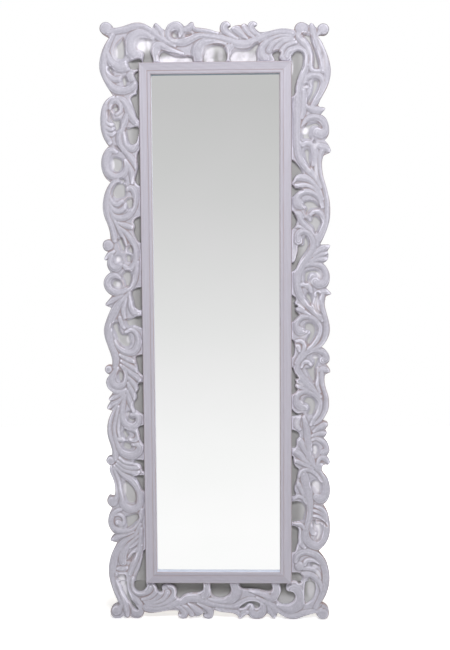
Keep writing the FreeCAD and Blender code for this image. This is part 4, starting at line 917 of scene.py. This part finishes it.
def zinc(name, tone):
    """Zinc plating with faint spangles."""
    p = Paint(name)
    p.shader.inputs["Metallic"].default_value = 1.0
    spangle = p.ramp(p.noise(160, 3), 0.3, 0.7)
    colour = p.mix(spangle, tone, tuple(0.88 * c for c in tone))
    return p.finish(colour, p.ramp(p.noise(90, 4), 0.3, 0.7, 0.42, 0.60), p.noise(700, 3), 0.12, 0.0002)


def rubbery(name, tone):
    """Matt rubber with a fine grit."""
    p = Paint(name)
    grit = p.noise(800, 3)
    colour = p.mix(p.ramp(grit, 0.3, 0.7), tone, tuple(min(255, 1.2 * c) for c in tone))
    return p.finish(colour, p.ramp(grit, 0.3, 0.7, 0.7, 0.9), grit, 0.3, 0.0003)


def dress(material, *names):
    """Puts a material on nodes of the frame."""
    for name in names:
        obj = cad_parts[name]
        obj.data.materials.clear()
        obj.data.materials.append(material)


def put_on(obj, material, body, slot, *nodes):
    """Gives a piece its material and body, and puts it in the place of nodes of the frame."""
    obj.data.materials.append(material)
    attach(obj, body)
    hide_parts(*nodes)


# Scales of the wood's grain, and light and dark tones of the bare woods
UPRIGHT_GRAIN = (40, 40, 3)
ACROSS_GRAIN = (3, 40, 40)
DOWEL_GRAIN = (12, 120, 120)
PINE = ((201, 168, 122), (181, 143, 98))
BEECH = ((206, 172, 130), (190, 152, 110))
CARVED_WOOD = ((190, 166, 136), (170, 143, 110))

# The carved border
relief = Relief()
relief.make()
left_joint, right_joint = relief.joints_x
low_joint, high_joint = relief.joints_z
all_rows = slice(0, len(relief.z))
boards = {
    "left_stile": (slice(0, left_joint + 1), all_rows),
    "right_stile": (slice(right_joint, len(relief.x)), all_rows),
    "top_rail": (slice(left_joint, right_joint + 1), slice(high_joint, len(relief.z))),
    "bottom_rail": (slice(left_joint, right_joint + 1), slice(0, low_joint + 1)),
}
whitewash = carved_paint()
bare_back = bare_wood("carving_back", UPRIGHT_GRAIN, *CARVED_WOOD)
for place, (columns, rows) in boards.items():
    board = carved_board(relief, "carving_" + place, columns, rows)
    put_on(board, whitewash, "frame", "carved_wood", "carved_" + place)
    board.data.materials.append(bare_back)

# The moulding
mould_w = 2 * MOULD_X
mould_h = MOULD_HIGH - MOULD_LOW
lengths = {
    "bottom": ((-MOULD_X, MOULD_LOW), (1, 0), (0, 1), mould_w),
    "top": ((MOULD_X, MOULD_HIGH), (-1, 0), (0, -1), mould_w),
    "left": ((-MOULD_X, MOULD_HIGH), (0, -1), (1, 0), mould_h),
    "right": ((MOULD_X, MOULD_LOW), (0, 1), (-1, 0), mould_h),
}
for place, (start, run, inwards, length) in lengths.items():
    piece = moulding("moulding_face_" + place, start, run, inwards, length)
    look = ACROSS if run[0] else UPRIGHT
    paint = moulding_paint("moulding_whitewash_" + place, lip_light_and_shade=LIP_LIGHT_AND_SHADE[place], **look)
    put_on(piece, paint, "frame", "moulding_wood", "moulding_" + place)

# Glass, base frame and fittings
dress(mirror_silver(), "mirror_glass")
dress(bare_wood("pine_up", UPRIGHT_GRAIN, *PINE), "base_left_stile", "base_right_stile")
dress(bare_wood("pine_across", ACROSS_GRAIN, *PINE), "base_top_rail", "base_bottom_rail")
dress(bare_wood("beech", DOWEL_GRAIN, *BEECH), "base_dowels")
dress(hardboard(), "back_panel")
dress(bare_wood("slip_pine", UPRIGHT_GRAIN, *PINE), "glass_slips")
dress(rubbery("bumper_rubber", (48, 48, 48)), "wall_bumpers")
dress(zinc("zinc_screws", (164, 158, 142)), "back_panel_screws", "carving_screws", "moulding_screws",
      "plate_screws", "hanger_screws")
dress(zinc("zinc_plates", (156, 156, 153)), "mending_plates")
dress(zinc("zinc_hangers", (154, 152, 147)), "hanger_strap_left", "hanger_strap_right",
      "hanger_ring_left", "hanger_ring_right")

# The room, in metres
FLOOR_HALF = 3.0
FLOOR_TONES = ((246, 246, 246), (250, 250, 250))
FLOOR_ROUGH = 0.9
FLOOR_GLOW = (0.49, 0.95)   # what the camera sees of the unlit floor, near the mirror and far from it
FLOOR_NEAR = 0.05           # in front of the mirror or behind it
FLOOR_FAR = 0.35
FLOOR_SHADED = 0.85         # what the light on the floor adds to that
AMBIENT = 0.245
AMBIENT_COLOUR = (255, 255, 252)
ROOM_LOW = -0.29            # steepness of the rays between which the mirrored room goes from pale to grey
ROOM_HIGH = 0.13
ROOM_TONES = [(0.0, 255), (0.19, 248), (0.476, 229), (0.76, 210), (1.0, 198)]
LAMPS = {
    "key": {
        "at": (0.4, -2.6, 3.0), "aim": (0, 0, 0.1), "side": 0.8, "power": 80, "colour": (0.98, 0.97, 1.0),
    },
    "behind": {
        "at": (0.6, 2.6, 2.2), "aim": (0, 0, 0.8), "side": 1.2, "power": 36, "colour": (1.0, 0.99, 0.97),
    },
}

# The camera, fitted to the four outer corners of the moulding in the photograph
PHOTO_H = 650               # pixels
FOCAL = 998.25              # pixels
CAMERA_AT = (0.108, -3.002, 1.196)
YAW, PITCH, ROLL = (math.radians(angle) for angle in (1.606, -5.401, 0.382))
SENSOR_H = 24               # millimetres


def floor():
    """Pale floor; for the camera it glows nearly white, and the rest of its light keeps the shadow."""
    corners = [(FLOOR_HALF * x, FLOOR_HALF * y, 0) for x, y in ((-1, -1), (1, -1), (1, 1), (-1, 1))]
    mesh = bpy.data.meshes.new("floor")
    mesh.from_pydata(corners, [], [(0, 1, 2, 3)])
    obj = shown(mesh, "floor")
    obj.visible_glossy = False
    p = Paint("floor_white")
    p.shader.inputs["Roughness"].default_value = FLOOR_ROUGH
    p.link(p.mix(p.ramp(p.noise(3, 2), 0.3, 0.7), *FLOOR_TONES), p.shader.inputs["Base Color"])
    where = p.node("SeparateXYZ")
    p.link(p.place(), where.inputs["Vector"])
    away = p.node("Math", operation="ABSOLUTE")
    p.link(where.outputs["Y"], away.inputs[0])
    glow = p.node("Emission")
    p.link(p.ramp(away.outputs["Value"], FLOOR_NEAR, FLOOR_FAR, *FLOOR_GLOW), glow.inputs["Strength"])
    matt = p.node("BsdfDiffuse", Color=(FLOOR_SHADED, FLOOR_SHADED, FLOOR_SHADED, 1))
    both = p.node("AddShader")
    p.link(glow.outputs["Emission"], both.inputs[0])
    p.link(matt.outputs["BSDF"], both.inputs[1])
    blend = p.node("MixShader")
    p.link(p.node("LightPath").outputs["Is Camera Ray"], blend.inputs["Fac"])
    p.link(p.shader.outputs["BSDF"], blend.inputs[1])
    p.link(both.outputs["Shader"], blend.inputs[2])
    out = next(n for n in p.tree.nodes if n.type == "OUTPUT_MATERIAL")
    p.link(blend.outputs["Shader"], out.inputs["Surface"])
    mesh.materials.append(p.material)


def studio():
    """White behind the mirror; in the glass, a room that goes from white low down to grey higher up."""
    world = bpy.data.worlds.new("studio")
    bpy.context.scene.world = world
    world.use_nodes = True
    nodes = world.node_tree.nodes
    link = world.node_tree.links.new
    nodes.clear()
    where, parts, climb, room, path, out = (nodes.new("ShaderNode" + kind) for kind in (
        "TexCoord", "SeparateXYZ", "MapRange", "ValToRGB", "LightPath", "OutputWorld"))
    soft, white, mirrored = (nodes.new("ShaderNodeBackground") for _ in range(3))
    by_camera, by_gloss = (nodes.new("ShaderNodeMixShader") for _ in range(2))
    climb.inputs["From Min"].default_value = ROOM_LOW
    climb.inputs["From Max"].default_value = ROOM_HIGH
    elements = room.color_ramp.elements
    while len(elements) < len(ROOM_TONES):
        elements.new(0.5)
    for element, (place, tone) in zip(elements, ROOM_TONES):
        element.position = place
        element.color = (*linear((tone, tone, tone)), 1)
    soft.inputs["Color"].default_value = (*linear(AMBIENT_COLOUR), 1)
    soft.inputs["Strength"].default_value = AMBIENT
    white.inputs["Color"].default_value = (1, 1, 1, 1)
    link(where.outputs["Generated"], parts.inputs["Vector"])
    link(parts.outputs["Z"], climb.inputs["Value"])
    link(climb.outputs["Result"], room.inputs["Fac"])
    link(room.outputs["Color"], mirrored.inputs["Color"])
    link(path.outputs["Is Camera Ray"], by_camera.inputs["Fac"])
    link(soft.outputs["Background"], by_camera.inputs[1])
    link(white.outputs["Background"], by_camera.inputs[2])
    link(path.outputs["Is Glossy Ray"], by_gloss.inputs["Fac"])
    link(by_camera.outputs["Shader"], by_gloss.inputs[1])
    link(mirrored.outputs["Background"], by_gloss.inputs[2])
    link(by_gloss.outputs["Shader"], out.inputs["Surface"])


def lamp(name, at, aim, side, power, colour):
    """Square soft lamp."""
    light = bpy.data.lights.new(name, "AREA")
    light.shape = "SQUARE"
    light.size = side
    light.energy = power
    light.color = colour
    obj = bpy.data.objects.new(name, light)
    obj.location = at
    obj.rotation_euler = (Vector(aim) - Vector(at)).to_track_quat("-Z", "Y").to_euler()
    bpy.context.scene.collection.objects.link(obj)


def camera():
    """The photograph's view."""
    data = bpy.data.cameras.new("camera")
    data.sensor_fit = "VERTICAL"
    data.sensor_height = SENSOR_H
    data.lens = FOCAL * SENSOR_H / PHOTO_H
    obj = bpy.data.objects.new("camera", data)
    turn = Matrix.Rotation(YAW, 4, "Z") @ Matrix.Rotation(PITCH, 4, "X") @ Matrix.Rotation(ROLL, 4, "Y")
    level = Matrix.Rotation(math.radians(90), 4, "X")
    obj.matrix_world = Matrix.Translation(CAMERA_AT) @ turn @ level
    bpy.context.scene.collection.objects.link(obj)
    bpy.context.scene.camera = obj


floor()
studio()
for name, values in LAMPS.items():
    lamp(name, **values)
camera()
bpy.context.scene.view_settings.view_transform = "Standard"
